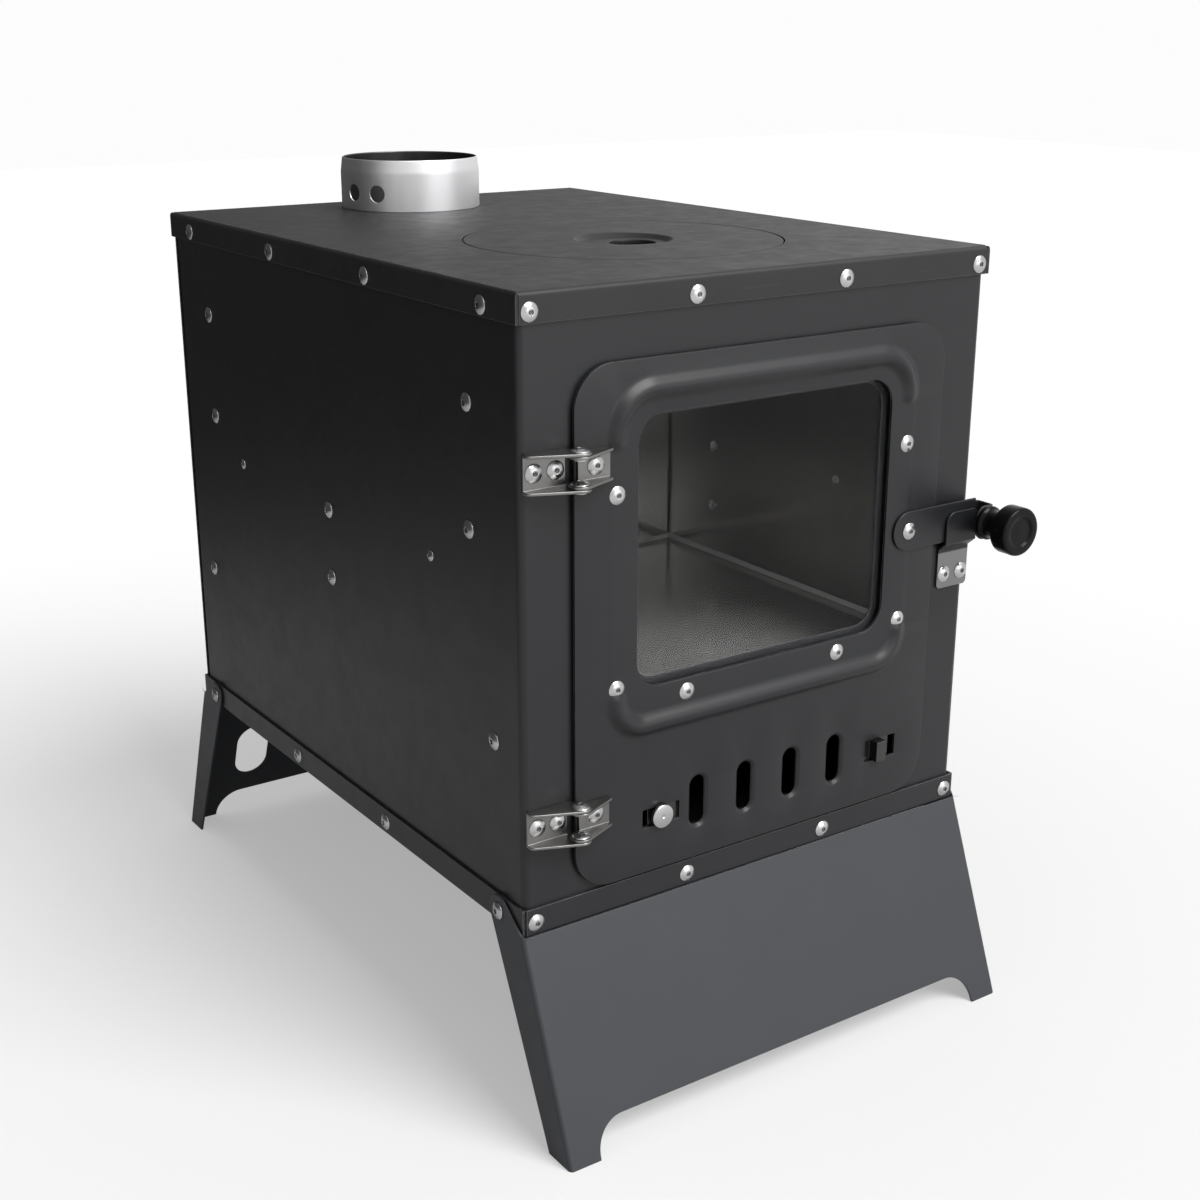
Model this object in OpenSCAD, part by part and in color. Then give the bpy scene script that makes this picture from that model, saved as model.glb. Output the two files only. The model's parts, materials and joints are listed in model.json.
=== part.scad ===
/* [Overall] */
// Width over the cap and the base tray
body_w = 300; // [298:1:330]
// Depth over the cap and the base tray
body_d = 406; // [396:1:440]
// Height of the body, from the tray's underside to the top
body_h = 324; // [318:1:345]
// Height of the tray's underside above the floor
leg_h = 110.5; // [95:0.5:130]
// Thickness of the outer steel sheet
sheet_t = 1.5; // [1.2:0.1:2]
// Inside radius of every tight fold
fold_r = 1; // [0.5:0.1:2]
// Inside radius of the wrapper's upright corners
corner_r = 2.5; // [1:0.1:5]
// Depth of the cap's flanges
cap_flange_h = 15; // [12:0.5:18]
// Height of the tray's flanges
tray_flange_h = 16; // [14:0.5:18]
// Distance of the tray's side flanges from its ends
tray_side_in = 0.8; // [0.8:0.1:1.5]
// Gap between sheets that lie against each other
lap_gap = 0.1; // [0.05:0.05:0.3]
// Width of the slits at the corners of the cap and the tray
slit_w = 0.4; // [0.2:0.1:1]
// Width of the wrapper's lips behind the rear panel
rear_lip_w = 15; // [14:0.5:16]
// Height of the notches at the lips' ends
lip_notch = 20; // [18:1:26]
// Side play of every pivot
side_play = 0.15; // [0.1:0.05:0.3]

/* [Rivets] */
// Radius of a blind rivet's head
rivet_head_r = 4.75; // [4:0.05:5.5]
// Height of a blind rivet's head
rivet_head_h = 1.9; // [1.4:0.1:2.6]
// Radius of a blind rivet's shank
rivet_r = 2.4; // [2:0.1:2.6]
// Radius of a small rivet's head
small_head_r = 3.1; // [2.6:0.1:3.6]
// Radius of a small rivet's shank
small_r = 1.6; // [1.2:0.1:2]
// Radial clearance of every rivet in its hole
pin_gap = 0.05; // [0.02:0.01:0.09]
// Spacing of the rivets along the cap's and the tray's ends
end_pitch = 95; // [80:1:95]
// Spacing of the rivets along the cap's sides
side_pitch = 115; // [100:1:120]
// Distance from the middle to each rivet along the tray's sides
tray_rivet_y = 57; // [45:1:60]
// Height of the cap's rivets below the top
cap_rivet_drop = 9.5; // [8:0.5:10]
// Height of the tray's rivets above its underside
tray_rivet_rise = 8; // [7:0.5:9]

/* [Liner fixings] */
// Distance from the middle to the rows of liner rivets
liner_rivet_y = 155; // [140:1:165]
// Height of the upper liner rivets above the tray's underside
liner_rivet_high = 266; // [250:1:280]
// Height of the lower liner rivets above the tray's underside
liner_rivet_low = 203; // [190:1:215]
// Distance from the middle to the small rivets
small_rivet_y = 116; // [100:1:125]
// Height of the small rivets above the tray's underside
small_rivet_rise = 180; // [170:1:186]
// Height of the upper middle rivet above the tray's underside
mid_rivet_high = 177.5; // [170:0.5:185]
// Height of the lower middle rivet above the tray's underside
mid_rivet_low = 138; // [130:1:145]
// Distance from the body's ends to the floor's rivets
floor_rivet_in = 28; // [25:1:35]
// Depth of the floor's rivets below the floor
floor_rivet_drop = 6; // [6:0.1:7]
// Radius of the spacer tubes behind the liners
spacer_r = 6; // [4:0.5:8]
// Radius of the spacer tubes at the small rivets
small_spacer_r = 4; // [3:0.5:5]
// Height of the back liner's lower rivets above the tray's underside
back_rivet_low = 139.5; // [125:0.5:150]
// Height of the back liner's upper rivets above the tray's underside
back_rivet_high = 239.5; // [220:0.5:255]
// Distance of the back liner's rivets behind its face
back_rivet_in = 9; // [8:0.5:10]

/* [Firebox] */
// Width between the side liners
firebox_w = 251; // [240:1:255]
// Height of the floor above the tray's underside
floor_rise = 104.5; // [100:0.5:108]
// Depth of the floor's side flanges
floor_flange_h = 16; // [14:0.5:20]
// Distance from the middle to the face of the back liner
back_liner_y = 47; // [30:1:60]
// Smoke gap over the back liner
smoke_gap = 42; // [30:1:50]
// Depth of the back liner's side flanges
back_flange_d = 14; // [12:0.5:18]
// Thickness of the stainless lining
liner_t = 1; // [0.8:0.1:1.5]
// Distance from the front of the body to the floor's front edge
floor_setback = 18; // [16:0.5:20]
// Space left above the side liners
liner_top_gap = 9; // [6:0.5:12]
// Distance from the front of the body to the side liners' front edges
liner_setback = 13; // [12:0.5:16]
// Space left behind the lining
rear_space = 4.8; // [4:0.1:8]
// Gap between the back liner and the side liners
back_gap = 0.2; // [0.1:0.05:0.4]

/* [Hot plate and flue] */
// Radius of the hot plate
plate_r = 88; // [80:0.5:92]
// Thickness of the hot plate
plate_t = 3; // [2.5:0.1:4]
// Distance from the body's front to the hot plate's centre
plate_in = 135.5; // [125:0.5:145]
// Distance of the hot plate's centre to the right
plate_right = 5; // [0:0.5:8]
// Gap around the hot plate
plate_gap = 0.9; // [0.5:0.1:1.5]
// Radius of the recess in the hot plate
dish_r = 27.5; // [24:0.5:30]
// Depth of the recess
dish_depth = 2.5; // [1.5:0.1:3]
// Radius of the lifting hole
lift_r = 13; // [11:0.5:14]
// Distance of the lifting hole to the right of the plate's centre
lift_offset = 6; // [0:0.5:6]
// Outside radius of the flue collar
flue_r = 44; // [40:0.5:44.5]
// Wall of the flue collar
flue_t = 1; // [0.8:0.1:1.5]
// Height of the flue collar above the top
flue_h = 31.5; // [26:0.5:40]
// Height of the groove at the collar's foot
flue_groove_h = 0.3; // [0.2:0.1:0.5]
// Distance from the body's back to the flue collar's centre
flue_in = 51; // [51:0.5:60]
// Distance of the flue collar's centre to the left
flue_left = 7; // [0:0.5:8]
// Radius of the draught holes in the collar
draught_r = 5.2; // [4:0.1:6]
// Depth of the draught holes below the collar's rim
draught_drop = 20.5; // [16:0.1:24]
// Direction of the first draught hole, in degrees
first_draught_turn = 188; // [180:1:192]
// Direction of the second draught hole, in degrees
second_draught_turn = 213; // [206:1:220]
// Height of the collar's tapered rim
rim_h = 9; // [6:0.5:10]
// Radius of the rim as a share of the collar's
rim_share = 0.975; // [0.96:0.005:1]
// Width of the collar's lower flange
flue_lip_w = 3.5; // [2:0.5:3.5]
// Width of the seat ring's flange under the cap
seat_flange_w = 13.1; // [10:0.1:16]
// Width of the seat ring's shelf
seat_shelf_w = 8.9; // [6:0.1:12]
// Sideways run of the recess's wall for each unit of its depth
dish_slope = 1.4; // [1:0.1:2]
// Distance the finger cup reaches past the lifting hole
cup_lap = 4; // [2:0.5:4.5]
// Height of the finger cup
cup_h = 8.5; // [7:0.5:12]

/* [Door] */
// Width of the door
door_w = 239; // [235:1:241]
// Height of the door
door_h = 270; // [262:1:276]
// Gap between the door and the tray's flange
door_gap = 1.5; // [1:0.5:3]
// Corner radius of the door
door_corner_r = 22; // [15:0.5:26]
// Width of the window
window_w = 165; // [155:1:168]
// Height of the window
window_h = 140; // [132:1:142]
// Height of the window above the door's lower edge
window_rise = 103; // [102:0.5:105]
// Corner radius of the window
window_corner_r = 15; // [10:0.5:20]
// How far the glass reaches past the window on every side
glass_lap = 4; // [3:0.1:4.1]
// Thickness of the glass
glass_t = 4; // [3:0.5:5]
// Width of the pressed bead
bead_w = 12; // [10:0.5:14]
// Height of the pressed bead
bead_h = 3.5; // [2.5:0.1:4.5]
// Distance from the middle to the bead's upright parts
bead_x = 95; // [93:0.5:96]
// Height of the upper bead above the door's lower edge
bead_high = 255; // [252:0.5:257]
// Height of the lower bead above the door's lower edge
bead_low = 83; // [80:0.5:84]
// Corner radius of the upper bead, at its middle
bead_high_r = 22; // [18:0.5:26]
// Corner radius of the lower bead, at its middle
bead_low_r = 17; // [14:0.5:18]
// How far the door laps over the wrapper around its opening
door_lap = 9.5; // [9.5:0.5:11]
// Thickness of the seal behind the door
seal_t = 1.2; // [0.8:0.1:1.2]
// Width of the seal
seal_w = 6; // [5:0.5:6]
// Distance from the door's edge to the seal
seal_in = 1.5; // [1:0.1:1.5]
// Thickness of the gasket in front of the glass
gasket_t = 0.5; // [0.4:0.1:1]
// Height of the upper door rivets above the door's lower edge
door_rivet_high = 205.5; // [190:0.5:215]
// Height of the lower door rivets above the door's lower edge
door_rivet_low = 106; // [106:0.5:120]
// Distance from the middle to the rivets under the window
sill_rivet_x = 51; // [40:1:65]
// Distance of those rivets below the window
sill_rivet_drop = 7.4; // [7.4:0.1:8]
// Width of the glass retainer beside the window
retainer_side = 18.5; // [18:0.5:20]
// Height of the glass retainer above and below the window
retainer_end = 13.5; // [12:0.5:14]
// How far the glass retainer reaches into the window
retainer_lap = 2.5; // [1:0.5:4]

/* [Air slider] */
// Number of air slots
slot_count = 4; // [3:1:4]
// Width of an air slot
slot_w = 10; // [8:0.5:10.4]
// Height of an air slot
slot_h = 28; // [24:0.5:30]
// Spacing of the air slots
slot_pitch = 31.7; // [30:0.1:33]
// Distance of the slots' middle to the right of the door's
slot_shift = 5.5; // [3:0.5:8]
// Height of the air slots' middle above the door's lower edge
slot_rise = 32; // [31.5:0.5:34]
// Distance from the middle to the slider's button
button_x = 66.8; // [65:0.1:68]
// Radius of the slider's button
button_r = 6.5; // [5.5:0.1:7.5]
// Height of the slider's button
button_h = 2.5; // [1.5:0.1:3.5]
// Distance of the button and the tab below the slots' middle
button_drop = 1.5; // [0:0.1:2]
// Width of the button's slot
button_slot_w = 23.5; // [22:0.1:25]
// Height of the button's slot
button_slot_h = 10; // [8:0.5:11]
// Distance of that slot's middle to the right of the button
button_slot_shift = 0.55; // [0.5:0.01:3]
// Distance from the middle to the slider's tab
tab_x = 84.5; // [83:0.1:86]
// Width of the slider's tab
tab_w = 7; // [5:0.5:7.5]
// Height of the slider's tab
tab_h = 12; // [10:0.5:13]
// How far the tab stands in front of the door
tab_out = 4.5; // [3:0.5:7]
// Travel left for the tab in its slot
tab_travel_w = 15.6; // [15.4:0.1:17]
// Distance of that slot's middle to the right of the tab
tab_slot_shift = 2.8; // [2.6:0.1:3]
// How far the slider reaches past the slots, above and below
slider_lap = 1.7; // [1.5:0.1:1.9]
// How far the slider reaches past its button and its tab
slider_end = 7; // [5:0.5:9]
// Width of the slider's guides
guide_w = 170; // [150:1:180]
// Height of a guide
guide_h = 5.5; // [4:0.5:5.5]
// How far a guide reaches over the slider
guide_lip = 1.7; // [1:0.1:1.9]
// Thickness of the slider
slider_t = 1.2; // [1:0.1:1.5]
// Play of the slider in its guides
slider_gap = 0.3; // [0.2:0.05:0.4]

/* [Hinges and latch] */
// Distance from the middle to the hinge axis
hinge_x = 121; // [120.5:0.1:122]
// Distance of the hinge axis in front of the body's front
hinge_out = 10.1; // [9.9:0.1:11]
// Distance from the middle to a body bracket's outer end
body_hinge_x = 147; // [146:0.5:147.5]
// Distance from the middle to a body bracket's inner end
body_hinge_near_x = 123.5; // [123:0.1:124]
// Depth cut away at the end of a body bracket's ear
body_ear_step = 5.1; // [4:0.1:6]
// Corner radius at the end of a body bracket's ear
ear_corner_r = 3; // [1:0.5:4]
// Distance from the hinge axis to a body bracket's nearer rivet
hinge_rivet_near = 8.2; // [7.5:0.1:8.5]
// Distance from the hinge axis to a body bracket's farther rivet
hinge_rivet_far = 20.2; // [19:0.1:20.5]
// Distance from the middle to a door bracket's outer end
door_hinge_x = 118.5; // [118:0.1:119]
// Width of a door bracket
door_hinge_w = 18.5; // [17:0.5:20]
// Depth cut away at the end of a door bracket's ear
door_ear_step = 4; // [3:0.1:5]
// Distance from the hinge axis to a door bracket's rivet
door_hinge_rivet_in = 12.6; // [12.6:0.1:14]
// Height of a hinge
hinge_h = 19; // [17:0.5:22]
// Distance of the lower hinge above the door's lower edge
hinge_low = 42.5; // [40:0.5:45]
// Distance of the upper hinge below the door's upper edge
hinge_high = 47.5; // [45:0.5:50]
// Radius of the hinge's ears around the pivot
ear_r = 5.5; // [5:0.1:5.8]
// Width of the latch arm
arm_h = 22; // [20:0.5:24]
// Distance from the middle to the latch's pivot
latch_x = 98.5; // [96:0.5:100]
// Height of the latch's pivot above the door's lower edge
latch_rise = 156.5; // [150:0.5:160]
// Distance from the middle to the end of the latch arm
arm_end_x = 152; // [151.5:0.5:155]
// How far the arm's hook stands in front of the arm
hook_d = 13; // [11:0.5:15]
// Length of the knob
knob_l = 25; // [22:0.5:30]
// Radius of the knob's grip
knob_r = 13.5; // [12:0.5:15]
// Radius of the knob's base as a share of the grip's
knob_base_share = 0.7; // [0.6:0.01:0.8]
// Radius of the knob's neck as a share of the grip's
knob_neck_share = 0.56; // [0.45:0.01:0.7]
// Radius of the knob's dished end as a share of the grip's
knob_dish_share = 0.61; // [0.5:0.01:0.7]
// Distance from the knob's base to the grip as a share of its length
knob_waist_share = 0.56; // [0.5:0.01:0.65]
// Rounding of the knob's edges as a share of its length
knob_edge_share = 0.1; // [0.05:0.01:0.14]
// Distance from the arm's end to the knob's axis
knob_in = 5; // [4.8:0.1:7]
// Radius of the knob's screw
screw_r = 2; // [1.5:0.1:2.4]
// Height of the screw's peened end
screw_head_h = 2.5; // [1:0.1:3]
// Width of the arm's hook
hook_w = 13; // [11:0.5:15]
// Height of the arm's hook
hook_h = 19; // [16:0.5:21]
// Corner radius of the hook
hook_corner_r = 6; // [2:0.5:8]
// Width of the catch plate
catch_w = 23; // [20:0.5:23.5]
// Distance from the middle to the catch plate's centre
catch_x = 137.5; // [136:0.1:138]
// Distance of the catch plate's lower edge below the latch's pivot
catch_below = 39.5; // [38:0.5:42]
// Distance of the catch plate's upper edge above the latch's pivot
catch_above = 6; // [3:0.5:10]
// Gap between the arm and the catch plate
catch_gap = 0.5; // [0.3:0.1:1]
// Height of the catch plate's foot
foot_h = 23.1; // [21:0.1:23.5]
// Height of the ramp above the foot
ramp_h = 4.4; // [3:0.1:4.8]
// Lag of the ramp's rear face behind its front face
ramp_lag = 0.6; // [0.4:0.1:0.8]
// Corner radius of the catch plate
catch_corner_r = 2.5; // [1:0.5:4]
// Corner radius of the catch plate where the arm comes down
catch_lead_r = 6; // [3:0.5:8]
// Height of the catch plate's rivets above its lower edge
catch_rivet_rise = 8.4; // [7:0.1:12]
// Distance of those rivets from the plate's centre
catch_rivet_x = 6.5; // [5:0.1:6.5]

/* [Legs] */
// How far the feet stand out past the body at each end
splay = 44; // [35:0.5:55]
// Distance from the body's end to the leg's pivot
pivot_in = 22; // [20:0.5:24]
// How far the legs stand out past the body at its underside
leg_top_out = 1.6; // [1.6:0.1:4]
// Distance along the leg from its pivot to its plate's upper edge
plate_drop = 14.3; // [14.3:0.1:20]
// Depth of a foot
leg_foot_d = 20; // [16:1:26]
// Radius of the leg's ear around its pivot
leg_ear_r = 8.5; // [8:0.1:9]
// Width of a foot
foot_w = 17.5; // [14:0.5:22]
// Height of the arch between the feet
arch_h = 18; // [14:0.5:24]
// Radius of the arch's ends
arch_r = 17; // [12:0.5:17]
// Width of the holes in the rear leg
leg_hole_w = 24; // [18:0.5:28]
// Height of the holes in the rear leg
leg_hole_h = 40; // [30:0.5:44]
// Distance from the middle to the holes in the rear leg
leg_hole_x = 110; // [95:0.5:115]
// Height of those holes' middle above the floor
leg_hole_z = 53; // [48:0.5:60]

/* [Hidden] */
$fn = 64;

black_paint = [0.13, 0.13, 0.14];
bare_steel = [0.62, 0.62, 0.6];
bright_steel = [0.82, 0.82, 0.8];
knob_black = [0.05, 0.05, 0.05];
rope_grey = [0.55, 0.53, 0.5];

cut = 2;
move_gap = 0.3;
top_z = leg_h + body_h;
end_y = body_d / 2;
side_x = body_w / 2;
skin_inset = sheet_t + lap_gap;
flue_root_r = flue_r - flue_t / 2;
skin_x = side_x - skin_inset;
skin_y = end_y - skin_inset;
fold_out_r = fold_r + sheet_t;
rivet_hole_r = rivet_r + pin_gap;
small_hole_r = small_r + pin_gap;
tail_h = 1.1;
tail_r = 3.3;
small_tail_r = 2.4;
edge_share = 0.3;
mandrel_share = 0.27;
cap_rivet_z = top_z - cap_rivet_drop;
tray_rivet_z = leg_h + tray_rivet_rise;

function dome(r, edge, top, hole, steps = 6) =
    let (rise = top - edge, ball = (r * r + rise * rise) / (2 * rise))
    [for (i = [0:steps]) let (x = r + (hole - r) * i / steps) [x, top - ball + sqrt(ball * ball - x * x)]];

function ring_arc(x, y, r, from, to, steps = 8) =
    [for (i = [0:steps]) let (a = from + (to - from) * i / steps) [x + r * cos(a), y + r * sin(a)]];

// The angle at which a line from a point touches a circle about the origin, on the side that turn names
function touch_angle(p, r, turn) = atan2(p[1], p[0]) + turn * acos(r / norm(p));

// A headed rivet along Z: its head stands on the plane z = 0 and its tail lies past the grip
module rivet(grip, head_r = rivet_head_r, head_h = rivet_head_h, shank_r = rivet_r, end_r = tail_r) {
    hole_r = head_r * mandrel_share;
    hole_z = head_h * edge_share;
    rotate_extrude()
        polygon(concat(
            [[0, -grip - tail_h], [end_r, -grip - tail_h], [end_r, -grip - tail_h / 2], [shank_r, -grip],
             [shank_r, 0], [head_r, 0]],
            dome(head_r, head_h * edge_share, head_h, hole_r),
            [[hole_r, hole_z], [0, hole_z]]));
}

module small_rivet(grip) {
    rivet(grip, small_head_r, rivet_head_h * small_head_r / rivet_head_r, small_r, small_tail_r);
}

module hole(r, depth) {
    cylinder(r = r, h = 2 * depth, center = true);
}

// Each of these puts its children on one face of the body, with +Z pointing away from it
module on_front(x, z, out = 0) {
    translate([x, -end_y - out, z]) rotate([90, 0, 0]) children();
}

module on_rear(x, z, out = 0) {
    translate([x, end_y + out, z]) rotate([-90, 0, 0]) children();
}

module on_sides(y, z, out = 0) {
    translate([-side_x - out, y, z]) rotate([0, -90, 0]) children();
    translate([side_x + out, y, z]) rotate([0, 90, 0]) children();
}

module mirrored_x() {
    children();
    mirror([1, 0, 0]) children();
}

module round_rect(w, h, r) {
    square([w - 2 * r, h], center = true);
    square([w, h - 2 * r], center = true);
    for (x = [-1, 1], y = [-1, 1])
        translate([x * (w / 2 - r), y * (h / 2 - r)]) circle(r = r);
}

module stadium(w, h) {
    square([w, h - w], center = true);
    for (y = [-1, 1])
        translate([0, y * (h - w) / 2]) circle(d = w);
}

// A plate in the XZ plane from y to y + t, drawn by its children
module upright(y, t) {
    translate([0, y + t, 0]) rotate([90, 0, 0]) linear_extrude(t) children();
}

// The section of a plate with both edges folded down: w wide, h deep, its top on the X axis
module folded_section(w, h, t = sheet_t) {
    difference() {
        fold_outline(w, h, fold_r + t);
        translate([0, -t]) fold_outline(w - 2 * t, h, fold_r);
    }
}

module fold_outline(w, h, r) {
    polygon(concat(
        [[-w / 2, -h], [w / 2, -h]],
        ring_arc(w / 2 - r, -r, r, 0, 90),
        ring_arc(r - w / 2, -r, r, 90, 180)));
}

// A pan with its flanges folded down and a slit at each corner: its top lies at z = 0 and its side flanges
// stop short of its ends
module pan(w, d, h, side_in = 0) {
    inner_w = w - 2 * (sheet_t + slit_w);
    difference() {
        rotate([90, 0, 0]) linear_extrude(d - 2 * side_in, center = true) folded_section(w, h);
        for (y = [-1, 1])
            translate([0, y * d / 2, 0])
                cube([inner_w + 2 * slit_w, 2 * fold_out_r, 2 * (h + cut)], center = true);
    }
    rotate([90, 0, 90]) linear_extrude(inner_w, center = true) folded_section(d, h);
}

end_rivet_xs = [for (i = [-1.5:1:1.5]) i * end_pitch];
cap_side_ys = [for (i = [-1.5:1:1.5]) i * side_pitch];

module at_cap_rivets() {
    for (x = end_rivet_xs) {
        on_front(x, cap_rivet_z) children();
        on_rear(x, cap_rivet_z) children();
    }
    for (y = cap_side_ys)
        on_sides(y, cap_rivet_z) children();
}

module at_tray_rivets() {
    for (x = end_rivet_xs) {
        on_front(x, tray_rivet_z) children();
        on_rear(x, tray_rivet_z) children();
    }
    for (y = [-tray_rivet_y, tray_rivet_y])
        on_sides(y, tray_rivet_z) children();
}

liner_places = [
    for (y = [-liner_rivet_y, liner_rivet_y], z = [liner_rivet_high, liner_rivet_low]) [y, leg_h + z],
    [0, leg_h + mid_rivet_high],
    [0, leg_h + mid_rivet_low]
];
small_places = [for (y = [-small_rivet_y, small_rivet_y]) [y, leg_h + small_rivet_rise]];
floor_z = leg_h + floor_rise;
floor_rivet_z = floor_z - floor_rivet_drop;

module at_liner_rivets() {
    for (p = liner_places) on_sides(p[0], p[1], -skin_inset) children();
}

module at_small_rivets() {
    for (p = small_places) on_sides(p[0], p[1], -skin_inset) children();
}

module at_floor_rivets() {
    for (y = [floor_rivet_in - end_y, end_y - floor_rivet_in])
        on_sides(y, floor_rivet_z, -skin_inset) children();
}

rear_lip_y = skin_y - skin_inset;
wrapper_z = leg_h + fold_out_r;
wrapper_h = body_h - 2 * fold_out_r;
rear_rivet_x = skin_x - rear_lip_w / 2;
rear_rivet_shares = [0.15, 0.5, 0.82];
two_sheets = 2 * sheet_t;
lapped_grip = two_sheets + lap_gap;
wall_depth = two_sheets + cut;
corner_out_r = corner_r + sheet_t;
lining_y = rear_lip_y - rear_space;
under_top_z = top_z - sheet_t;
plate_y = plate_in - end_y;
flue_y = end_y - flue_in;

door_z = leg_h + tray_flange_h + door_gap;
door_mid_z = door_z + door_h / 2;
door_front_y = -end_y - sheet_t;
window_z = door_z + window_rise + window_h / 2;
opening_w = door_w - 2 * door_lap;
opening_h = door_h - 2 * door_lap;
opening_r = door_corner_r - door_lap / 2;
glass_front_y = -end_y + gasket_t + lap_gap;
retainer_y = glass_front_y + glass_t + 2 * lap_gap;
retainer_t = slider_t;
slot_z = door_z + slot_rise;
button_z = slot_z - button_drop;
slot_xs = [for (i = [0:slot_count - 1]) slot_shift + (i - (slot_count - 1) / 2) * slot_pitch];
slider_h = slot_h + 2 * slider_lap;
guide_base_t = slider_t + 2 * slider_gap;

upper_hinge_z = door_z + door_h - hinge_high;
lower_hinge_z = door_z + hinge_low;
hinge_zs = [upper_hinge_z, lower_hinge_z];
hinge_y = -skin_y - hinge_out;
pivot_grip = two_sheets + 2 * side_play;
hinge_rivet_xs = [hinge_x + hinge_rivet_near, hinge_x + hinge_rivet_far];
door_hinge_rivet_x = hinge_x - door_hinge_rivet_in;
latch_z = door_z + latch_rise;
arm_y = door_front_y - move_gap;
hook_y = arm_y - hook_d;
knob_x = arm_end_x - knob_in;
catch_z = latch_z - catch_below;
catch_h = catch_below + catch_above;
catch_rivet_z = catch_z + catch_rivet_rise;
catch_tail_r = min(tail_r, skin_x - sheet_t - side_play - catch_x - catch_rivet_x);

pivot_y = end_y - pivot_in;
leg_in_x = side_x + side_play;
leg_out_x = leg_in_x + sheet_t;
leg_grip = lapped_grip + sheet_t + 2 * side_play;
lean = atan2(splay - leg_top_out, leg_h);
plate_reach = (pivot_in + splay) * cos(lean) - tray_rivet_z * sin(lean);
spacer_reach = skin_x - firebox_w / 2 + cut;
retainer_grip = retainer_y + retainer_t - door_front_y;

module at_rear_rivets() {
    for (x = [-rear_rivet_x, rear_rivet_x], share = rear_rivet_shares)
        on_rear(x, wrapper_z + share * wrapper_h, -skin_inset) children();
}

module at_leg_pivots() {
    for (y = [-pivot_y, pivot_y]) on_sides(y, tray_rivet_z) children();
}

module at_hinge_rivets(zs = hinge_zs) {
    for (x = hinge_rivet_xs, z = zs) on_front(-x, z, -lap_gap) children();
}

module at_catch_rivets() {
    for (side = [-1, 1]) on_front(catch_x + side * catch_rivet_x, catch_rivet_z, -lap_gap) children();
}

module at_back_rivets() {
    mirrored_x()
        for (rise = [back_rivet_low, back_rivet_high])
            translate([firebox_w / 2 - back_gap - liner_t, back_liner_y + back_rivet_in, leg_h + rise])
                rotate([0, -90, 0]) children();
}

module at_door_rivets() {
    mirrored_x() {
        on_front(bead_x, door_z + door_rivet_high, sheet_t) children();
        on_front(bead_x, door_z + door_rivet_low, sheet_t) children();
        on_front(sill_rivet_x, door_z + window_rise - sill_rivet_drop, sheet_t) children();
    }
}

module at_door_hinge_rivets(zs = hinge_zs) {
    for (z = zs) on_front(-door_hinge_rivet_x, z, two_sheets) children();
}

module wrapper_outline() {
    depth = skin_y + rear_lip_y;
    difference() {
        translate([0, (rear_lip_y - skin_y) / 2])
            difference() {
                round_rect(2 * skin_x, depth, corner_out_r);
                round_rect(2 * (skin_x - sheet_t), depth - two_sheets, corner_r);
            }
        translate([0, rear_lip_y]) square([2 * (skin_x - rear_lip_w), 2 * two_sheets], center = true);
    }
}

module outer_wrapper() {
    color(black_paint)
    difference() {
        translate([0, 0, wrapper_z]) linear_extrude(wrapper_h) wrapper_outline();
        for (z = [wrapper_z, wrapper_z + wrapper_h])
            translate([0, rear_lip_y, z])
                cube([2 * (skin_x - sheet_t), 2 * corner_out_r, 2 * lip_notch], center = true);
        translate([0, -skin_y, door_mid_z]) rotate([90, 0, 0])
            linear_extrude(wall_depth, center = true) round_rect(opening_w, opening_h, opening_r);
        at_cap_rivets() hole(rivet_hole_r, wall_depth);
        at_tray_rivets() hole(rivet_hole_r, wall_depth);
        at_leg_pivots() hole(rivet_hole_r, wall_depth);
        at_liner_rivets() hole(rivet_hole_r, wall_depth);
        at_floor_rivets() hole(rivet_hole_r, wall_depth);
        at_small_rivets() hole(small_hole_r, wall_depth);
        at_rear_rivets() hole(rivet_hole_r, wall_depth);
        at_hinge_rivets() hole(rivet_hole_r, wall_depth);
        at_catch_rivets() hole(rivet_hole_r, wall_depth);
    }
}

module rear_panel() {
    color(black_paint)
    difference() {
        translate([0, skin_y - sheet_t / 2, wrapper_z + wrapper_h / 2])
            cube([2 * skin_x, sheet_t, wrapper_h], center = true);
        at_cap_rivets() hole(rivet_hole_r, wall_depth);
        at_tray_rivets() hole(rivet_hole_r, wall_depth);
        at_rear_rivets() hole(rivet_hole_r, wall_depth);
    }
}

module top_cap() {
    color(black_paint)
    difference() {
        translate([0, 0, top_z]) pan(body_w, body_d, cap_flange_h);
        translate([plate_right, plate_y, top_z]) hole(plate_r + plate_gap, wall_depth);
        translate([-flue_left, flue_y, top_z]) hole(flue_r + lap_gap, wall_depth);
        at_cap_rivets() hole(rivet_hole_r, wall_depth);
    }
}

module base_tray() {
    color(black_paint)
    difference() {
        translate([0, 0, leg_h]) mirror([0, 0, 1]) pan(body_w, body_d, tray_flange_h, tray_side_in);
        at_tray_rivets() hole(rivet_hole_r, wall_depth);
        at_leg_pivots() hole(rivet_hole_r, wall_depth);
    }
}

module firebox_floor() {
    front_y = floor_setback - end_y;
    color(bright_steel)
    difference() {
        translate([0, (front_y + lining_y) / 2, floor_z]) rotate([90, 0, 0])
            linear_extrude(lining_y - front_y, center = true)
                folded_section(2 * (skin_x - skin_inset), floor_flange_h);
        at_floor_rivets() hole(rivet_hole_r, wall_depth);
    }
}

module right_liner() {
    low_z = floor_z + lap_gap;
    front_y = liner_setback - end_y;
    color(bright_steel)
    difference() {
        translate([firebox_w / 2, front_y, low_z])
            cube([liner_t, lining_y - front_y, under_top_z - liner_top_gap - low_z]);
        at_liner_rivets() hole(rivet_hole_r, spacer_reach);
        at_small_rivets() hole(small_hole_r, spacer_reach);
        at_back_rivets() hole(small_hole_r, wall_depth);
    }
}

module left_liner() {
    mirror([1, 0, 0]) right_liner();
}

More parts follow.
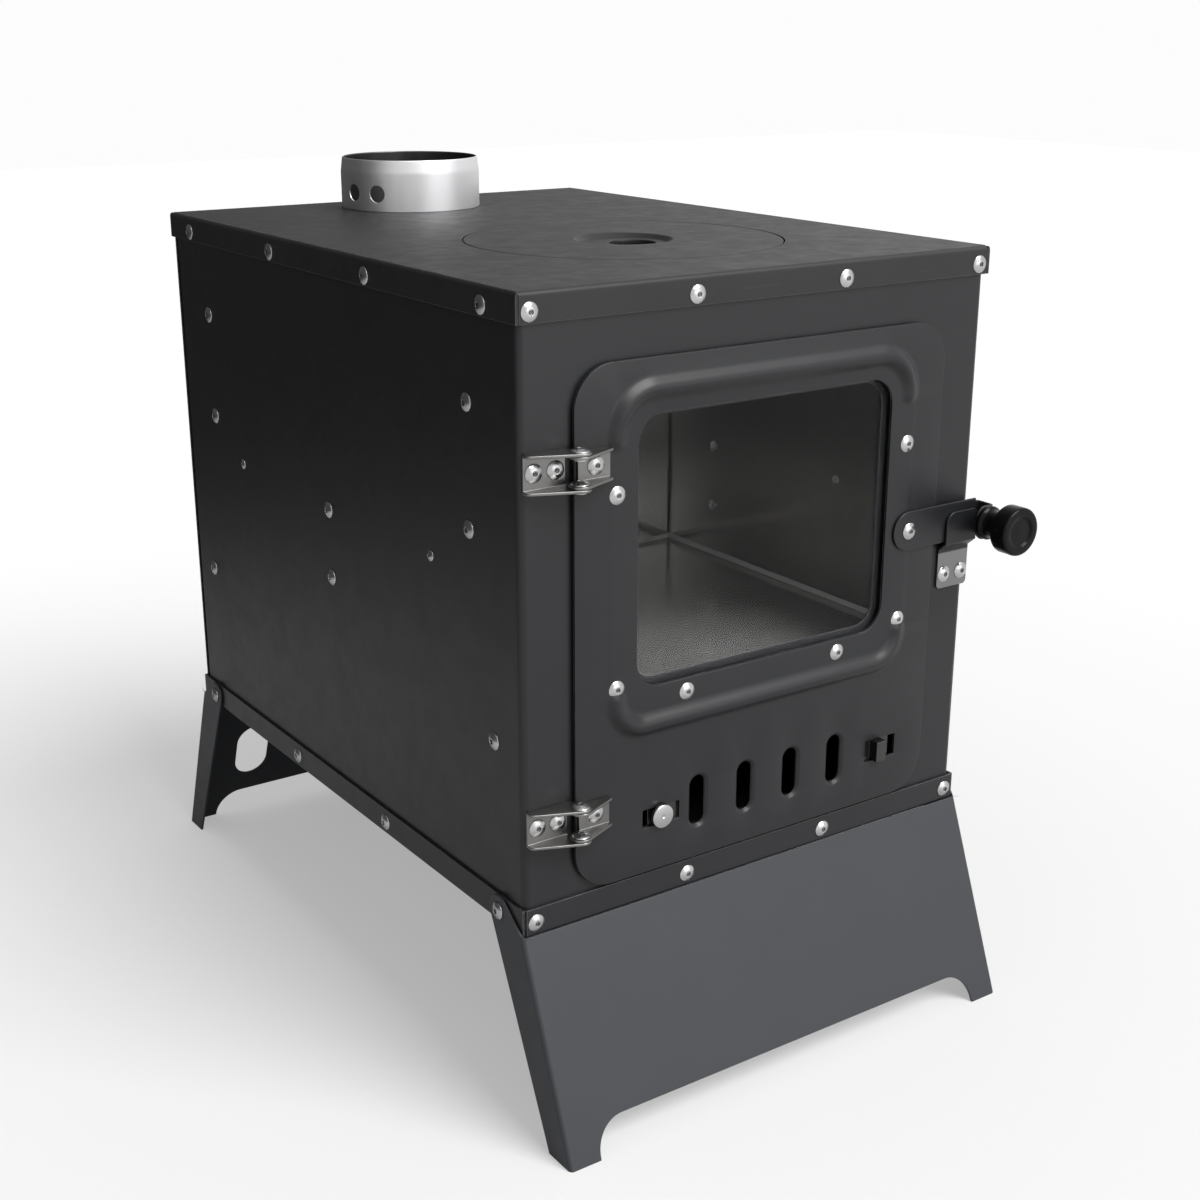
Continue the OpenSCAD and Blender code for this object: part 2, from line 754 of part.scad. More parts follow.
module back_liner() {
    low_z = floor_z + lap_gap;
    color(bright_steel)
    difference() {
        translate([0, back_liner_y, low_z]) linear_extrude(under_top_z - smoke_gap - low_z)
            mirror([0, 1]) folded_section(firebox_w - 2 * back_gap, back_flange_d, liner_t);
        at_back_rivets() hole(small_hole_r, wall_depth);
    }
}

// A tube between the wrapper and a liner, drawn inwards from the wrapper's outside
module liner_spacer(r, bore_r) {
    length = skin_x - sheet_t - firebox_w / 2 - liner_t;
    translate([0, 0, -sheet_t - length])
        difference() {
            cylinder(r = r, h = length);
            hole(bore_r, length + cut);
        }
}

module liner_spacers() {
    color(bare_steel) {
        at_liner_rivets() liner_spacer(spacer_r, rivet_hole_r);
        at_small_rivets() liner_spacer(small_spacer_r, small_hole_r);
    }
}

module back_liner_rivets() {
    color(bright_steel) at_back_rivets() small_rivet(back_gap + 2 * liner_t);
}

module flue_collar() {
    low = -sheet_t - flue_t;
    rim_r = flue_r * rim_share;
    in_r = flue_r - flue_t;
    color(bright_steel)
    difference() {
        translate([-flue_left, flue_y, top_z])
            rotate_extrude()
                polygon([
                    [in_r, low], [flue_r + flue_lip_w, low], [flue_r + flue_lip_w, -sheet_t],
                    [flue_root_r, -sheet_t], [flue_root_r, flue_groove_h], [flue_r, flue_groove_h],
                    [flue_r, flue_h - rim_h],
                    [rim_r, flue_h - flue_t / 2], [rim_r - flue_t / 2, flue_h],
                    [rim_r - flue_t, flue_h - flue_t / 2], [in_r, flue_h - rim_h]
                ]);
        for (turn = [first_draught_turn, second_draught_turn])
            translate([-flue_left, flue_y, top_z + flue_h - draught_drop]) rotate([0, 0, turn])
                rotate([0, 90, 0]) cylinder(r = draught_r, h = flue_r + cut);
    }
}

module plate_seat_ring() {
    in_r = plate_r + plate_gap;
    shelf_z = -plate_t - lap_gap;
    color(black_paint)
    translate([plate_right, plate_y, top_z])
        rotate_extrude()
            polygon([
                [in_r, -sheet_t], [in_r + seat_flange_w, -sheet_t], [in_r + seat_flange_w, -two_sheets],
                [in_r + sheet_t, -two_sheets], [in_r + sheet_t, shelf_z - sheet_t],
                [in_r - seat_shelf_w, shelf_z - sheet_t], [in_r - seat_shelf_w, shelf_z], [in_r, shelf_z]
            ]);
}

module cap_rivets() {
    color(bright_steel) at_cap_rivets() rivet(lapped_grip);
}

module tray_rivets() {
    color(bright_steel) at_tray_rivets() rivet(lapped_grip);
}

module side_rivets() {
    color(bright_steel) {
        at_liner_rivets() rivet(skin_x - firebox_w / 2);
        at_floor_rivets() rivet(lapped_grip);
    }
}

module small_side_rivets() {
    color(bright_steel) at_small_rivets() small_rivet(skin_x - firebox_w / 2);
}

module rear_rivets() {
    color(bright_steel) at_rear_rivets() rivet(lapped_grip);
}

// The plan of a body bracket's ear about the pin
module body_ear() {
    far = hinge_x - body_hinge_x;
    near = hinge_x - body_hinge_near_x;
    front = touch_angle([far, hinge_out - body_ear_step], ear_r, 1);
    rear = touch_angle([near, hinge_out], ear_r, -1);
    corner_x = far + ear_corner_r;
    corner_y = (ear_r - ear_corner_r - corner_x * cos(front)) / sin(front);
    polygon(concat(
        [[near, hinge_out], [far, hinge_out]],
        ring_arc(corner_x, corner_y, ear_corner_r, 180, front),
        ring_arc(0, 0, ear_r, front, rear + 360, 12)));
}

module body_hinge(z) {
    width = body_hinge_x - body_hinge_near_x;
    color(bare_steel)
    difference() {
        union() {
            translate([-body_hinge_x, -skin_y - sheet_t, z - hinge_h / 2]) cube([width, sheet_t, hinge_h]);
            for (low = [-hinge_h / 2, hinge_h / 2 - sheet_t])
                translate([-hinge_x, hinge_y, z + low]) linear_extrude(sheet_t) body_ear();
        }
        translate([-hinge_x, hinge_y, z]) hole(rivet_hole_r, hinge_h);
        at_hinge_rivets([z]) hole(rivet_hole_r, wall_depth);
    }
}

module upper_body_hinge() {
    body_hinge(upper_hinge_z);
}

module lower_body_hinge() {
    body_hinge(lower_hinge_z);
}

module hinge_rivets() {
    color(bright_steel) at_hinge_rivets() rivet(two_sheets);
}

module hinge_pivots() {
    color(bare_steel)
    for (z = hinge_zs, rise = [hinge_h / 2, pivot_grip - hinge_h / 2])
        translate([-hinge_x, hinge_y, z + rise]) rivet(pivot_grip);
}

// The catch seen from its side: its foot lies on the wrapper and its upper part stands clear of the arm
module catch_side() {
    out_y = arm_y - sheet_t - catch_gap - sheet_t;
    top = catch_h;
    polygon([
        [-skin_y, 0], [-skin_y, foot_h + ramp_lag], [out_y + sheet_t, foot_h + ramp_h + ramp_lag],
        [out_y + sheet_t, top], [out_y, top], [out_y, foot_h + ramp_h], [-skin_y - sheet_t, foot_h],
        [-skin_y - sheet_t, 0]
    ]);
}

module catch_plate() {
    color(black_paint)
    difference() {
        intersection() {
            translate([catch_x, 0, catch_z]) rotate([90, 0, 90])
                linear_extrude(catch_w, center = true) catch_side();
            translate([catch_x, 0, catch_z + catch_h / 2])
                upright(-end_y - catch_h, 2 * catch_h)
                    intersection() {
                        round_rect(catch_w, catch_h, catch_corner_r);
                        translate([catch_w / 2, -catch_h / 2])
                            round_rect(2 * catch_w, 2 * catch_h, catch_lead_r);
                    }
        }
        at_catch_rivets() hole(rivet_hole_r, wall_depth);
    }
}

module catch_rivets() {
    color(bright_steel) at_catch_rivets() rivet(two_sheets + corner_r / 2, end_r = catch_tail_r);
}

module leg_pivots() {
    color(bright_steel)
    for (y = [-pivot_y, pivot_y])
        on_sides(y, tray_rivet_z, sheet_t + 2 * side_play) rivet(leg_grip);
}

// The bead's section over the door's front at y = 0, as a solid or as the hollow behind it
module bead_section(hollow, tight = 0) {
    rise_r = (bead_w * bead_w / 4 + bead_h * bead_h) / (2 * bead_h);
    r = hollow ? rise_r - sheet_t - tight : rise_r;
    half = acos((rise_r - bead_h - sheet_t / 2) / r);
    x = r * sin(half);
    polygon(concat(
        hollow ? [[-x, -two_sheets], [x, -two_sheets]] : [],
        ring_arc(0, bead_h - rise_r, r, 90 - half, 90 + half, 12)));
}

// A bead over the door's width: its corners turn towards -Y and its ends stop short by an angle
module bead(r, hollow) {
    short = hollow ? asin(sheet_t / r) : 0;
    rotate([90, 0, 90]) linear_extrude(2 * (bead_x - r), center = true) bead_section(hollow, lap_gap);
    mirrored_x()
        translate([bead_x - r, -r, 0]) rotate([0, 0, short])
            rotate_extrude(angle = 90 - short) translate([r, 0]) bead_section(hollow);
}

module beads(hollow) {
    translate([0, door_front_y, 0]) rotate([90, 0, 0]) {
        translate([0, door_z + bead_high, 0]) bead(bead_high_r, hollow);
        translate([0, door_z + bead_low, 0]) mirror([0, 1, 0]) bead(bead_low_r, hollow);
    }
}

module door_outline() {
    difference() {
        translate([0, door_mid_z]) round_rect(door_w, door_h, door_corner_r);
        translate([0, window_z]) round_rect(window_w, window_h, window_corner_r);
        for (x = slot_xs) translate([x, slot_z]) stadium(slot_w, slot_h);
        translate([button_slot_shift - button_x, button_z])
            square([button_slot_w, button_slot_h], center = true);
        translate([tab_x + tab_slot_shift, button_z])
            square([tab_w + tab_travel_w, tab_h + 2 * move_gap], center = true);
    }
}

module door_panel() {
    color(black_paint)
    difference() {
        union() {
            upright(door_front_y, sheet_t) door_outline();
            beads(false);
        }
        beads(true);
        at_door_rivets() hole(rivet_hole_r, wall_depth);
        at_door_hinge_rivets() hole(rivet_hole_r, wall_depth + sheet_t);
        on_front(latch_x, latch_z, sheet_t) hole(rivet_hole_r, wall_depth);
    }
}

module glass_outline() {
    translate([0, window_z]) round_rect(window_w + 2 * glass_lap, window_h + 2 * glass_lap, glass_lap);
}

module window_glass() {
    color([0.75, 0.8, 0.8, 0.35]) upright(glass_front_y, glass_t) glass_outline();
}

module glass_gasket() {
    color(rope_grey)
    upright(-end_y, gasket_t)
        difference() {
            glass_outline();
            translate([0, window_z])
                round_rect(window_w + glass_lap / 2, window_h + glass_lap / 2, window_corner_r);
        }
}

module glass_retainer() {
    color(black_paint)
    difference() {
        upright(retainer_y, retainer_t)
            translate([0, window_z])
                difference() {
                    round_rect(window_w + 2 * retainer_side, window_h + 2 * retainer_end, corner_out_r);
                    round_rect(window_w - 2 * retainer_lap, window_h - 2 * retainer_lap,
                        window_corner_r - retainer_lap);
                }
        at_door_rivets() hole(rivet_hole_r, wall_depth + glass_t + retainer_t);
    }
}

module retainer_spacers() {
    length = retainer_y + end_y;
    color(bare_steel)
    at_door_rivets()
        translate([0, 0, -sheet_t - length])
            difference() {
                cylinder(r = tail_r, h = length);
                hole(rivet_hole_r, length + cut);
            }
}

module door_rivets() {
    color(bright_steel) at_door_rivets() rivet(retainer_grip);
}

module door_seal() {
    color(rope_grey)
    upright(-end_y, seal_t)
        translate([0, door_mid_z])
            difference() {
                round_rect(door_w - 2 * seal_in, door_h - 2 * seal_in, door_corner_r - seal_in);
                round_rect(door_w - 2 * (seal_in + seal_w), door_h - 2 * (seal_in + seal_w),
                    door_corner_r - seal_in - seal_w);
            }
}

module slider_guides() {
    low = slider_h / 2 + slider_gap;
    color(black_paint)
    for (side = [0, 1])
        translate([slot_shift, -end_y, slot_z]) mirror([0, 0, side]) rotate([90, 0, 90])
            linear_extrude(guide_w, center = true)
                polygon([
                    [0, low], [0, low + guide_h], [guide_base_t + slider_t, low + guide_h],
                    [guide_base_t + slider_t, low - guide_lip], [guide_base_t, low - guide_lip],
                    [guide_base_t, low]
                ]);
}

// The plan of a door bracket's ear about the pin
module door_ear() {
    near = hinge_x - door_hinge_x;
    far = near + door_hinge_w;
    seat = door_front_y - hinge_y;
    rear = touch_angle([near, seat], ear_r, 1);
    front = touch_angle([far, seat - door_ear_step], ear_r, -1) + 360;
    polygon(concat(
        [[far, seat - door_ear_step], [far, seat], [near, seat]],
        ring_arc(0, 0, ear_r, rear, front, 12)));
}

module door_hinge(z) {
    height = hinge_h - two_sheets - 2 * side_play;
    color(bare_steel)
    difference() {
        union() {
            translate([-door_hinge_x, door_front_y - sheet_t, z - height / 2])
                cube([door_hinge_w, sheet_t, height]);
            for (low = [-height / 2, height / 2 - sheet_t])
                translate([-hinge_x, hinge_y, z + low]) linear_extrude(sheet_t) door_ear();
        }
        translate([-hinge_x, hinge_y, z]) hole(rivet_hole_r, hinge_h);
        at_door_hinge_rivets([z]) hole(rivet_hole_r, wall_depth);
    }
}

module upper_door_hinge() {
    door_hinge(upper_hinge_z);
}

module lower_door_hinge() {
    door_hinge(lower_hinge_z);
}

module door_hinge_rivets() {
    color(bright_steel) at_door_hinge_rivets() rivet(two_sheets);
}

module latch_pivot() {
    out = two_sheets + move_gap + side_play;
    color(bright_steel) on_front(latch_x, latch_z, out) rivet(out);
}

// The plan of the latch arm's hook
module hook_plan() {
    x = arm_end_x - fold_out_r;
    polygon(concat(
        [[x - cut, arm_y - sheet_t], [x - cut, arm_y]],
        ring_arc(x, arm_y - fold_out_r, fold_out_r, 90, 0),
        ring_arc(x, hook_y + fold_out_r, fold_out_r, 0, -90),
        [[arm_end_x - hook_w, hook_y], [arm_end_x - hook_w, hook_y + sheet_t]],
        ring_arc(x, hook_y + fold_out_r, fold_r, -90, 0),
        ring_arc(x, arm_y - fold_out_r, fold_r, 0, 90)));
}

module latch_arm() {
    length = arm_end_x - fold_out_r - latch_x;
    color(black_paint)
    difference() {
        union() {
            translate([latch_x, 0, latch_z]) upright(arm_y - sheet_t, sheet_t) {
                circle(r = arm_h / 2);
                translate([0, -arm_h / 2]) square([length, arm_h]);
            }
            intersection() {
                translate([0, 0, latch_z]) linear_extrude(hook_h, center = true) hook_plan();
                translate([arm_end_x, 0, latch_z])
                    upright(hook_y - cut, hook_d + 2 * cut) round_rect(2 * hook_w, hook_h, hook_corner_r);
            }
        }
        on_front(latch_x, latch_z, sheet_t) hole(rivet_hole_r, wall_depth);
        translate([knob_x, hook_y, latch_z]) rotate([90, 0, 0]) hole(screw_r + pin_gap, wall_depth);
    }
}

module latch_knob() {
    edge = knob_l * knob_edge_share;
    grip_z = knob_l * knob_waist_share;
    base_r = knob_r * knob_base_share;
    waist_r = knob_r * knob_neck_share;
    dish = knob_r * knob_dish_share;
    color(knob_black)
    translate([knob_x, hook_y, latch_z]) rotate([90, 0, 0])
        difference() {
            rotate_extrude()
                polygon(concat(
                    [[0, 0], [base_r, 0], [base_r, edge], [waist_r, edge], [waist_r, grip_z]],
                    ring_arc(knob_r - edge, grip_z + edge, edge, -80, 0, 4),
                    ring_arc(knob_r - edge, knob_l - edge, edge, 0, 80, 4),
                    [[dish, knob_l], [dish - edge / 2, knob_l - edge / 2], [0, knob_l - edge / 2]]));
            hole(screw_r + pin_gap, grip_z + cut);
        }
}

module knob_screw() {
    color(bare_steel)
    translate([knob_x, hook_y, latch_z]) rotate([90, 0, 0]) {
        translate([0, 0, -sheet_t]) cylinder(r = screw_r, h = sheet_t + knob_l * knob_waist_share);
        translate([0, 0, -sheet_t - screw_head_h]) cylinder(r = fold_out_r, h = screw_head_h);
    }
}

module air_slider() {
    half = slider_h / 2;
    right = tab_x + tab_w / 2 + slider_end;
    color(bare_steel)
    difference() {
        union() {
            upright(-end_y + slider_gap, slider_t)
                difference() {
                    translate([-button_x - slider_end, slot_z - half])
                        square([right + button_x + slider_end, slider_h]);
                    for (x = slot_xs) translate([x, slot_z]) stadium(slot_w, slot_h);
                }
            translate([tab_x - tab_w / 2, door_front_y - tab_out, button_z - tab_h / 2])
                cube([tab_w, tab_out + sheet_t + slider_gap + slider_t, tab_h]);
        }
        on_front(-button_x, button_z) hole(small_hole_r, wall_depth);
    }
}

module slider_button() {
    out = sheet_t + 2 * slider_gap;
    color(bright_steel)
    on_front(-button_x, button_z, out)
        rivet(out + slider_gap + slider_t, button_r, button_h, small_r, small_tail_r);
}

module hot_plate() {
    slope = dish_depth * dish_slope;
    color(black_paint)
    difference() {
        translate([plate_right, plate_y, top_z])
            rotate_extrude()
                polygon([
                    [0, -dish_depth], [dish_r - slope, -dish_depth], [dish_r, 0], [plate_r, 0],
                    [plate_r, -plate_t], [dish_r + sheet_t, -plate_t],
                    [dish_r + sheet_t - slope, -plate_t - dish_depth], [0, -plate_t - dish_depth]
                ]);
        translate([plate_right + lift_offset, plate_y, top_z]) hole(lift_r, plate_t + dish_depth + cut);
    }
}

module finger_cup() {
    low = -plate_t - dish_depth;
    r = lift_r + cup_lap;
    color(black_paint)
    translate([plate_right + lift_offset, plate_y, top_z])
        rotate_extrude()
            polygon([
                [0, low - cup_h], [r - fold_out_r, low - cup_h], [r, low - cup_h + fold_out_r], [r, low],
                [r - liner_t, low], [r - liner_t, low - cup_h + fold_out_r],
                [r - fold_out_r, low - cup_h + liner_t], [0, low - cup_h + liner_t]
            ]);
}

// A leg seen from its side about its pivot, with its foot towards -Y
module leg_side() {
    foot_y = -pivot_in - splay;
    foot_z = -tray_rivet_z;
    inner = [foot_y + leg_foot_d, foot_z];
    top = [
        -plate_reach * cos(lean) - plate_drop * sin(lean),
        plate_reach * sin(lean) - plate_drop * cos(lean)
    ];
    from_turn = touch_angle(inner, leg_ear_r, 1);
    to_turn = touch_angle(top, leg_ear_r, -1) + 360;
    polygon(concat(
        [top + cut * [-cos(lean), sin(lean)], [foot_y - cut, foot_z], inner],
        ring_arc(0, 0, leg_ear_r, from_turn, to_turn, 12),
        [top]));
}

module leg() {
    length = leg_h + pivot_in + splay;
    color(black_paint)
    difference() {
        intersection() {
            translate([0, -pivot_y, tray_rivet_z]) rotate([180 - lean, 0, 0])
                translate([0, plate_reach, -length / 2]) linear_extrude(2 * length)
                    folded_section(2 * leg_out_x, 2 * (plate_reach + leg_ear_r));
            translate([0, -pivot_y, tray_rivet_z]) rotate([90, 0, 90])
                linear_extrude(2 * leg_out_x + cut, center = true) leg_side();
        }
        translate([0, -pivot_y, tray_rivet_z]) rotate([180 - lean, 0, 0])
            translate([-leg_in_x, 0, plate_drop - length]) cube([2 * leg_in_x, 2 * plate_reach, length]);
        translate([0, -end_y, 0])
            upright(-splay - cut, splay) round_rect(2 * (side_x - foot_w), 2 * arch_h, arch_r);
        at_leg_pivots() hole(rivet_hole_r, wall_depth);
    }
}

module front_leg() {
    leg();
}

module rear_leg() {
    color(black_paint)
    difference() {
        mirror([0, 1, 0]) leg();
        for (x = [-leg_hole_x, leg_hole_x])
            translate([x, 0, leg_hole_z]) upright(end_y, splay) stadium(leg_hole_w, leg_hole_h);
    }
}

outer_wrapper();
rear_panel();
top_cap();
base_tray();
firebox_floor();
left_liner();
right_liner();
back_liner();
liner_spacers();
back_liner_rivets();
flue_collar();
plate_seat_ring();
cap_rivets();
tray_rivets();
side_rivets();
small_side_rivets();
rear_rivets();
upper_body_hinge();
lower_body_hinge();
hinge_rivets();
hinge_pivots();
catch_plate();
catch_rivets();
leg_pivots();
door_panel();
window_glass();
glass_gasket();
glass_retainer();
retainer_spacers();
door_rivets();
door_seal();
slider_guides();
upper_door_hinge();
lower_door_hinge();
door_hinge_rivets();
latch_pivot();
latch_arm();
latch_knob();
knob_screw();
air_slider();
slider_button();
hot_plate();
finger_cup();
front_leg();
rear_leg();
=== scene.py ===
"""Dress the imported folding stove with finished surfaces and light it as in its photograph.

Lengths are in millimetres here, and become metres where a mesh, a lamp or the camera is made.
"""

import json
import logging
import math
from dataclasses import dataclass, field
from enum import Enum

import bpy
import numpy as np
from mathutils import Matrix, Vector
from mathutils.geometry import delaunay_2d_cdt

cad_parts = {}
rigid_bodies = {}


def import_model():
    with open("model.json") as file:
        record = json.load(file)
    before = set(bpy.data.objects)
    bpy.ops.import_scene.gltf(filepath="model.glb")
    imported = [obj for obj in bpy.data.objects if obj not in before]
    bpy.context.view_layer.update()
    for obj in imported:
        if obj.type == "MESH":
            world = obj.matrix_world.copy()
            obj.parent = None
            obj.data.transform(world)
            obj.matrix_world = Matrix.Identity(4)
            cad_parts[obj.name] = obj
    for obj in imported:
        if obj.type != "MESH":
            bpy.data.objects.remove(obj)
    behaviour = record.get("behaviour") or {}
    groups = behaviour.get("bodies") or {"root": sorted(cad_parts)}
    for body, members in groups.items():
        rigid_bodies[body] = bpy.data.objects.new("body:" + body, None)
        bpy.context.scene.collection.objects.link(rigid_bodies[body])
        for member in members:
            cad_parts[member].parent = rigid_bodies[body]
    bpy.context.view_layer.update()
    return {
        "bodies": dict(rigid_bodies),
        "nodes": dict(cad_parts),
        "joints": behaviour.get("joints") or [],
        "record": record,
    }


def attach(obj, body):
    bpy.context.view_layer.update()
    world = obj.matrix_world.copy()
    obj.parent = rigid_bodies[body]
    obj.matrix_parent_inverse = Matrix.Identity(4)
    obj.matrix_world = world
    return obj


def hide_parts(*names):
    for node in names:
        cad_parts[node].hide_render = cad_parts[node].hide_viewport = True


logging.basicConfig(level=logging.INFO, format="%(levelname)s %(message)s")
log = logging.getLogger("stove")

MM = 0.001
Pair = tuple[float, float]
Triple = tuple[float, float, float]
Color = Triple
Frame = dict
Tree = bpy.types.NodeTree
Socket = bpy.types.NodeSocket
Material = bpy.types.Material


class Body(str, Enum):
    """The rigid bodies that new pieces ride on."""

    STOVE = "stove"
    DOOR = "door"
    LATCH = "latch"
    SLIDER = "slider"


def feed(tree: Tree, node: bpy.types.Node, inputs: dict) -> None:
    """Set or link a node's inputs, given as values or sockets by name or index."""
    for key, value in inputs.items():
        if isinstance(value, Socket):
            tree.links.new(value, node.inputs[key])
        else:
            node.inputs[key].default_value = value


def add_node(tree: Tree, kind: str, inputs: dict, **settings: object) -> bpy.types.Node:
    """Add a shader node with its inputs set or linked.

    Args:
        tree: The node tree.
        kind: The node's type, without the prefix that all share.
        inputs: Values or sockets by input name or index.
        settings: Attributes of the node.

    Returns:
        The node.
    """
    node = tree.nodes.new("ShaderNode" + kind)
    for key, value in settings.items():
        setattr(node, key, value)
    feed(tree, node, inputs)
    return node


def combined(tree: Tree, operation: str, one: object, other: object) -> Socket:
    """Return the result of a Math node's operation on two values or sockets."""
    return add_node(tree, "Math", {0: one, 1: other}, operation=operation).outputs[0]


def dotted(tree: Tree, one: Socket, other: object) -> Socket:
    """Return the dot product of two vectors."""
    return add_node(tree, "VectorMath", {0: one, 1: other}, operation="DOT_PRODUCT").outputs["Value"]


def place(tree: Tree, output: str = "Object") -> Socket:
    """Return the shaded point's place, or another output of the Texture Coordinate node."""
    return add_node(tree, "TexCoord", {}).outputs[output]


def normal(tree: Tree) -> Socket:
    """Return the surface's own normal."""
    return add_node(tree, "NewGeometry", {}).outputs["Normal"]


def ranged(tree: Tree, value: Socket, start: tuple, end: Pair) -> Socket:
    """Map a socket from one range, of numbers or sockets, to another, clamped."""
    limits = zip(("From Min", "From Max", "To Min", "To Max"), (*start, *end))
    return add_node(tree, "MapRange", {"Value": value, **dict(limits)}).outputs["Result"]


def mixed(tree: Tree, factor: Socket, first: object, second: object) -> Socket:
    """Mix two colours, each a colour or a socket.

    Args:
        tree: The node tree.
        factor: How much of the second shows.
        first: The first colour.
        second: The second colour.

    Returns:
        The mixed socket.
    """
    node = add_node(tree, "Mix", {"Factor": factor}, data_type="RGBA")
    ends = [s for s in node.inputs if s.type == "RGBA"]
    for socket, value in zip(ends, (first, second)):
        if isinstance(value, Socket):
            tree.links.new(value, socket)
        else:
            socket.default_value = (*value, 1.0)
    return next(s for s in node.outputs if s.type == "RGBA")


def scaled(reach: Pair) -> Pair:
    """Return a range of lengths in metres."""
    return reach[0] * MM, reach[1] * MM


def height_mask(tree: Tree, reach: Pair) -> Socket:
    """Return a mask that goes from 0 to 1 between two heights over the floor."""
    height = add_node(tree, "SeparateXYZ", {0: place(tree)}).outputs["Z"]
    return ranged(tree, height, scaled(reach), (0.0, 1.0))


def new_material(name: str) -> tuple[Material, Tree, bpy.types.Node]:
    """Return a new material, its node tree and its shader."""
    material = bpy.data.materials.new(name)
    material.use_nodes = True
    return material, material.node_tree, material.node_tree.nodes["Principled BSDF"]


def placed(name: str, data: bpy.types.ID) -> bpy.types.Object:
    """Return a new object of the scene that shows a mesh, a lamp or a camera."""
    thing = bpy.data.objects.new(name, data)
    bpy.context.scene.collection.objects.link(thing)
    return thing


class MarkGroup:
    """The node group that every finish shares: patches, clouds, grain, specks and scratches."""

    NAME = "surface_marks"
    NOISE_ROUGHNESS = 0.55
    BROAD_SIZE = 55.0
    CLOUD_SIZE = 11.0
    SPECK_SPACING = 6.0
    SPECK_CLUMP_SIZE = 34.0
    SPECK_CLUMP_LEVEL = (0.56, 0.6)
    SCRATCH_SPACING = 26.0
    SCRATCH_STRETCH = 14.0
    SCRATCH_TURN = (0.4, 0.3, 0.7)
    SCRATCH_CLUMP_SIZE = 21.0
    SCRATCH_CLUMP_LEVEL = (0.58, 0.64)

    def __init__(self) -> None:
        self.tree = bpy.data.node_groups.new(self.NAME, "ShaderNodeTree")
        for name, kind, value in (("Stretch", "NodeSocketVector", (1.0, 1.0, 1.0)),
                                  ("Grain Size", "NodeSocketFloat", 0.8),
                                  ("Speck Size", "NodeSocketFloat", 0.05),
                                  ("Scratch Width", "NodeSocketFloat", 0.01)):
            socket = self.tree.interface.new_socket(name, in_out="INPUT", socket_type=kind)
            socket.default_value = value
        for name in ("Broad", "Cloud", "Grain", "Specks", "Scratches"):
            self.tree.interface.new_socket(name, in_out="OUTPUT", socket_type="NodeSocketFloat")
        self.source = self.tree.nodes.new("NodeGroupInput")
        self.sink = self.tree.nodes.new("NodeGroupOutput")
        self._link()

    def _noise(self, where: Socket, size: float, detail: float) -> Socket:
        """Return noise with features of a size and octaves of detail."""
        inputs = {"Vector": where, "Scale": 1 / size, "Detail": detail, "Roughness": self.NOISE_ROUGHNESS}
        return add_node(self.tree, "TexNoise", inputs).outputs["Fac"]

    def _clumped(self, marks: Socket, where: Socket, size: float, level: Pair) -> Socket:
        """Keep marks only in clumps of a size, where noise reaches a level."""
        clumps = ranged(self.tree, self._noise(where, size, 1.0), level, (0.0, 1.0))
        return combined(self.tree, "MULTIPLY", marks, clumps)

    def _link(self) -> None:
        """Lay the group's nodes: noise at three sizes, sparse dots and long thin lines."""
        tree, given = self.tree, self.source.outputs
        flat = add_node(tree, "VectorMath", {0: place(tree), 1: (1 / MM,) * 3},
                        operation="MULTIPLY").outputs[0]
        drawn = add_node(tree, "VectorMath", {0: flat, 1: given["Stretch"]}, operation="DIVIDE").outputs[0]
        grain_scale = combined(tree, "DIVIDE", 1.0, given["Grain Size"])
        grain = add_node(tree, "TexNoise", {"Vector": drawn, "Scale": grain_scale, "Detail": 2.0})
        dots = add_node(tree, "TexVoronoi", {"Vector": flat, "Scale": 1 / self.SPECK_SPACING})
        dot = ranged(tree, dots.outputs["Distance"], (0.0, given["Speck Size"]), (1.0, 0.0))
        turned = add_node(tree, "Mapping", {"Vector": flat, "Rotation": self.SCRATCH_TURN,
                                            "Scale": (1 / self.SCRATCH_STRETCH, 1.0, 1.0)}).outputs[0]
        lines = add_node(tree, "TexVoronoi", {"Vector": turned, "Scale": 1 / self.SCRATCH_SPACING},
                         feature="DISTANCE_TO_EDGE")
        line = ranged(tree, lines.outputs["Distance"], (0.0, given["Scratch Width"]), (1.0, 0.0))
        outputs = {
            "Broad": self._noise(drawn, self.BROAD_SIZE, 2.0),
            "Cloud": self._noise(drawn, self.CLOUD_SIZE, 4.0),
            "Grain": grain.outputs["Fac"],
            "Specks": self._clumped(dot, flat, self.SPECK_CLUMP_SIZE, self.SPECK_CLUMP_LEVEL),
            "Scratches": self._clumped(line, flat, self.SCRATCH_CLUMP_SIZE, self.SCRATCH_CLUMP_LEVEL),
        }
        for name, socket in outputs.items():
            tree.links.new(socket, self.sink.inputs[name])


@dataclass(frozen=True)
class Band:
    """A surface of another kind below a height.

    Args:
        top: The height where it ends.
        color: Its base colour.
        metallic: 1 for bare metal, 0 for the pale painted highlight.
        rough: Its roughness.
    """

    top: float
    color: Color
    metallic: float
    rough: float


@dataclass(frozen=True)
class ShadedBore:
    """Painted shade on the inside of an upright tube.

    Args:
        centre: Its axis, across and back.
        color: The painted shade's colour.
    """

    centre: Pair
    color: Color
    FACING = (-10.0, -20.0)

    def mask(self, tree: Tree) -> Socket:
        """Return a mask that is 1 where the surface faces the axis: the normal times the way from the axis.

        Args:
            tree: The node tree.

        Returns:
            The mask.
        """
        shift = (-self.centre[0] * MM, -self.centre[1] * MM, 0.0)
        away = add_node(tree, "VectorMath", {0: place(tree), 1: (1.0, 1.0, 0.0), 2: shift},
                        operation="MULTIPLY_ADD").outputs[0]
        return ranged(tree, dotted(tree, away, normal(tree)), scaled(self.FACING), (0.0, 1.0))


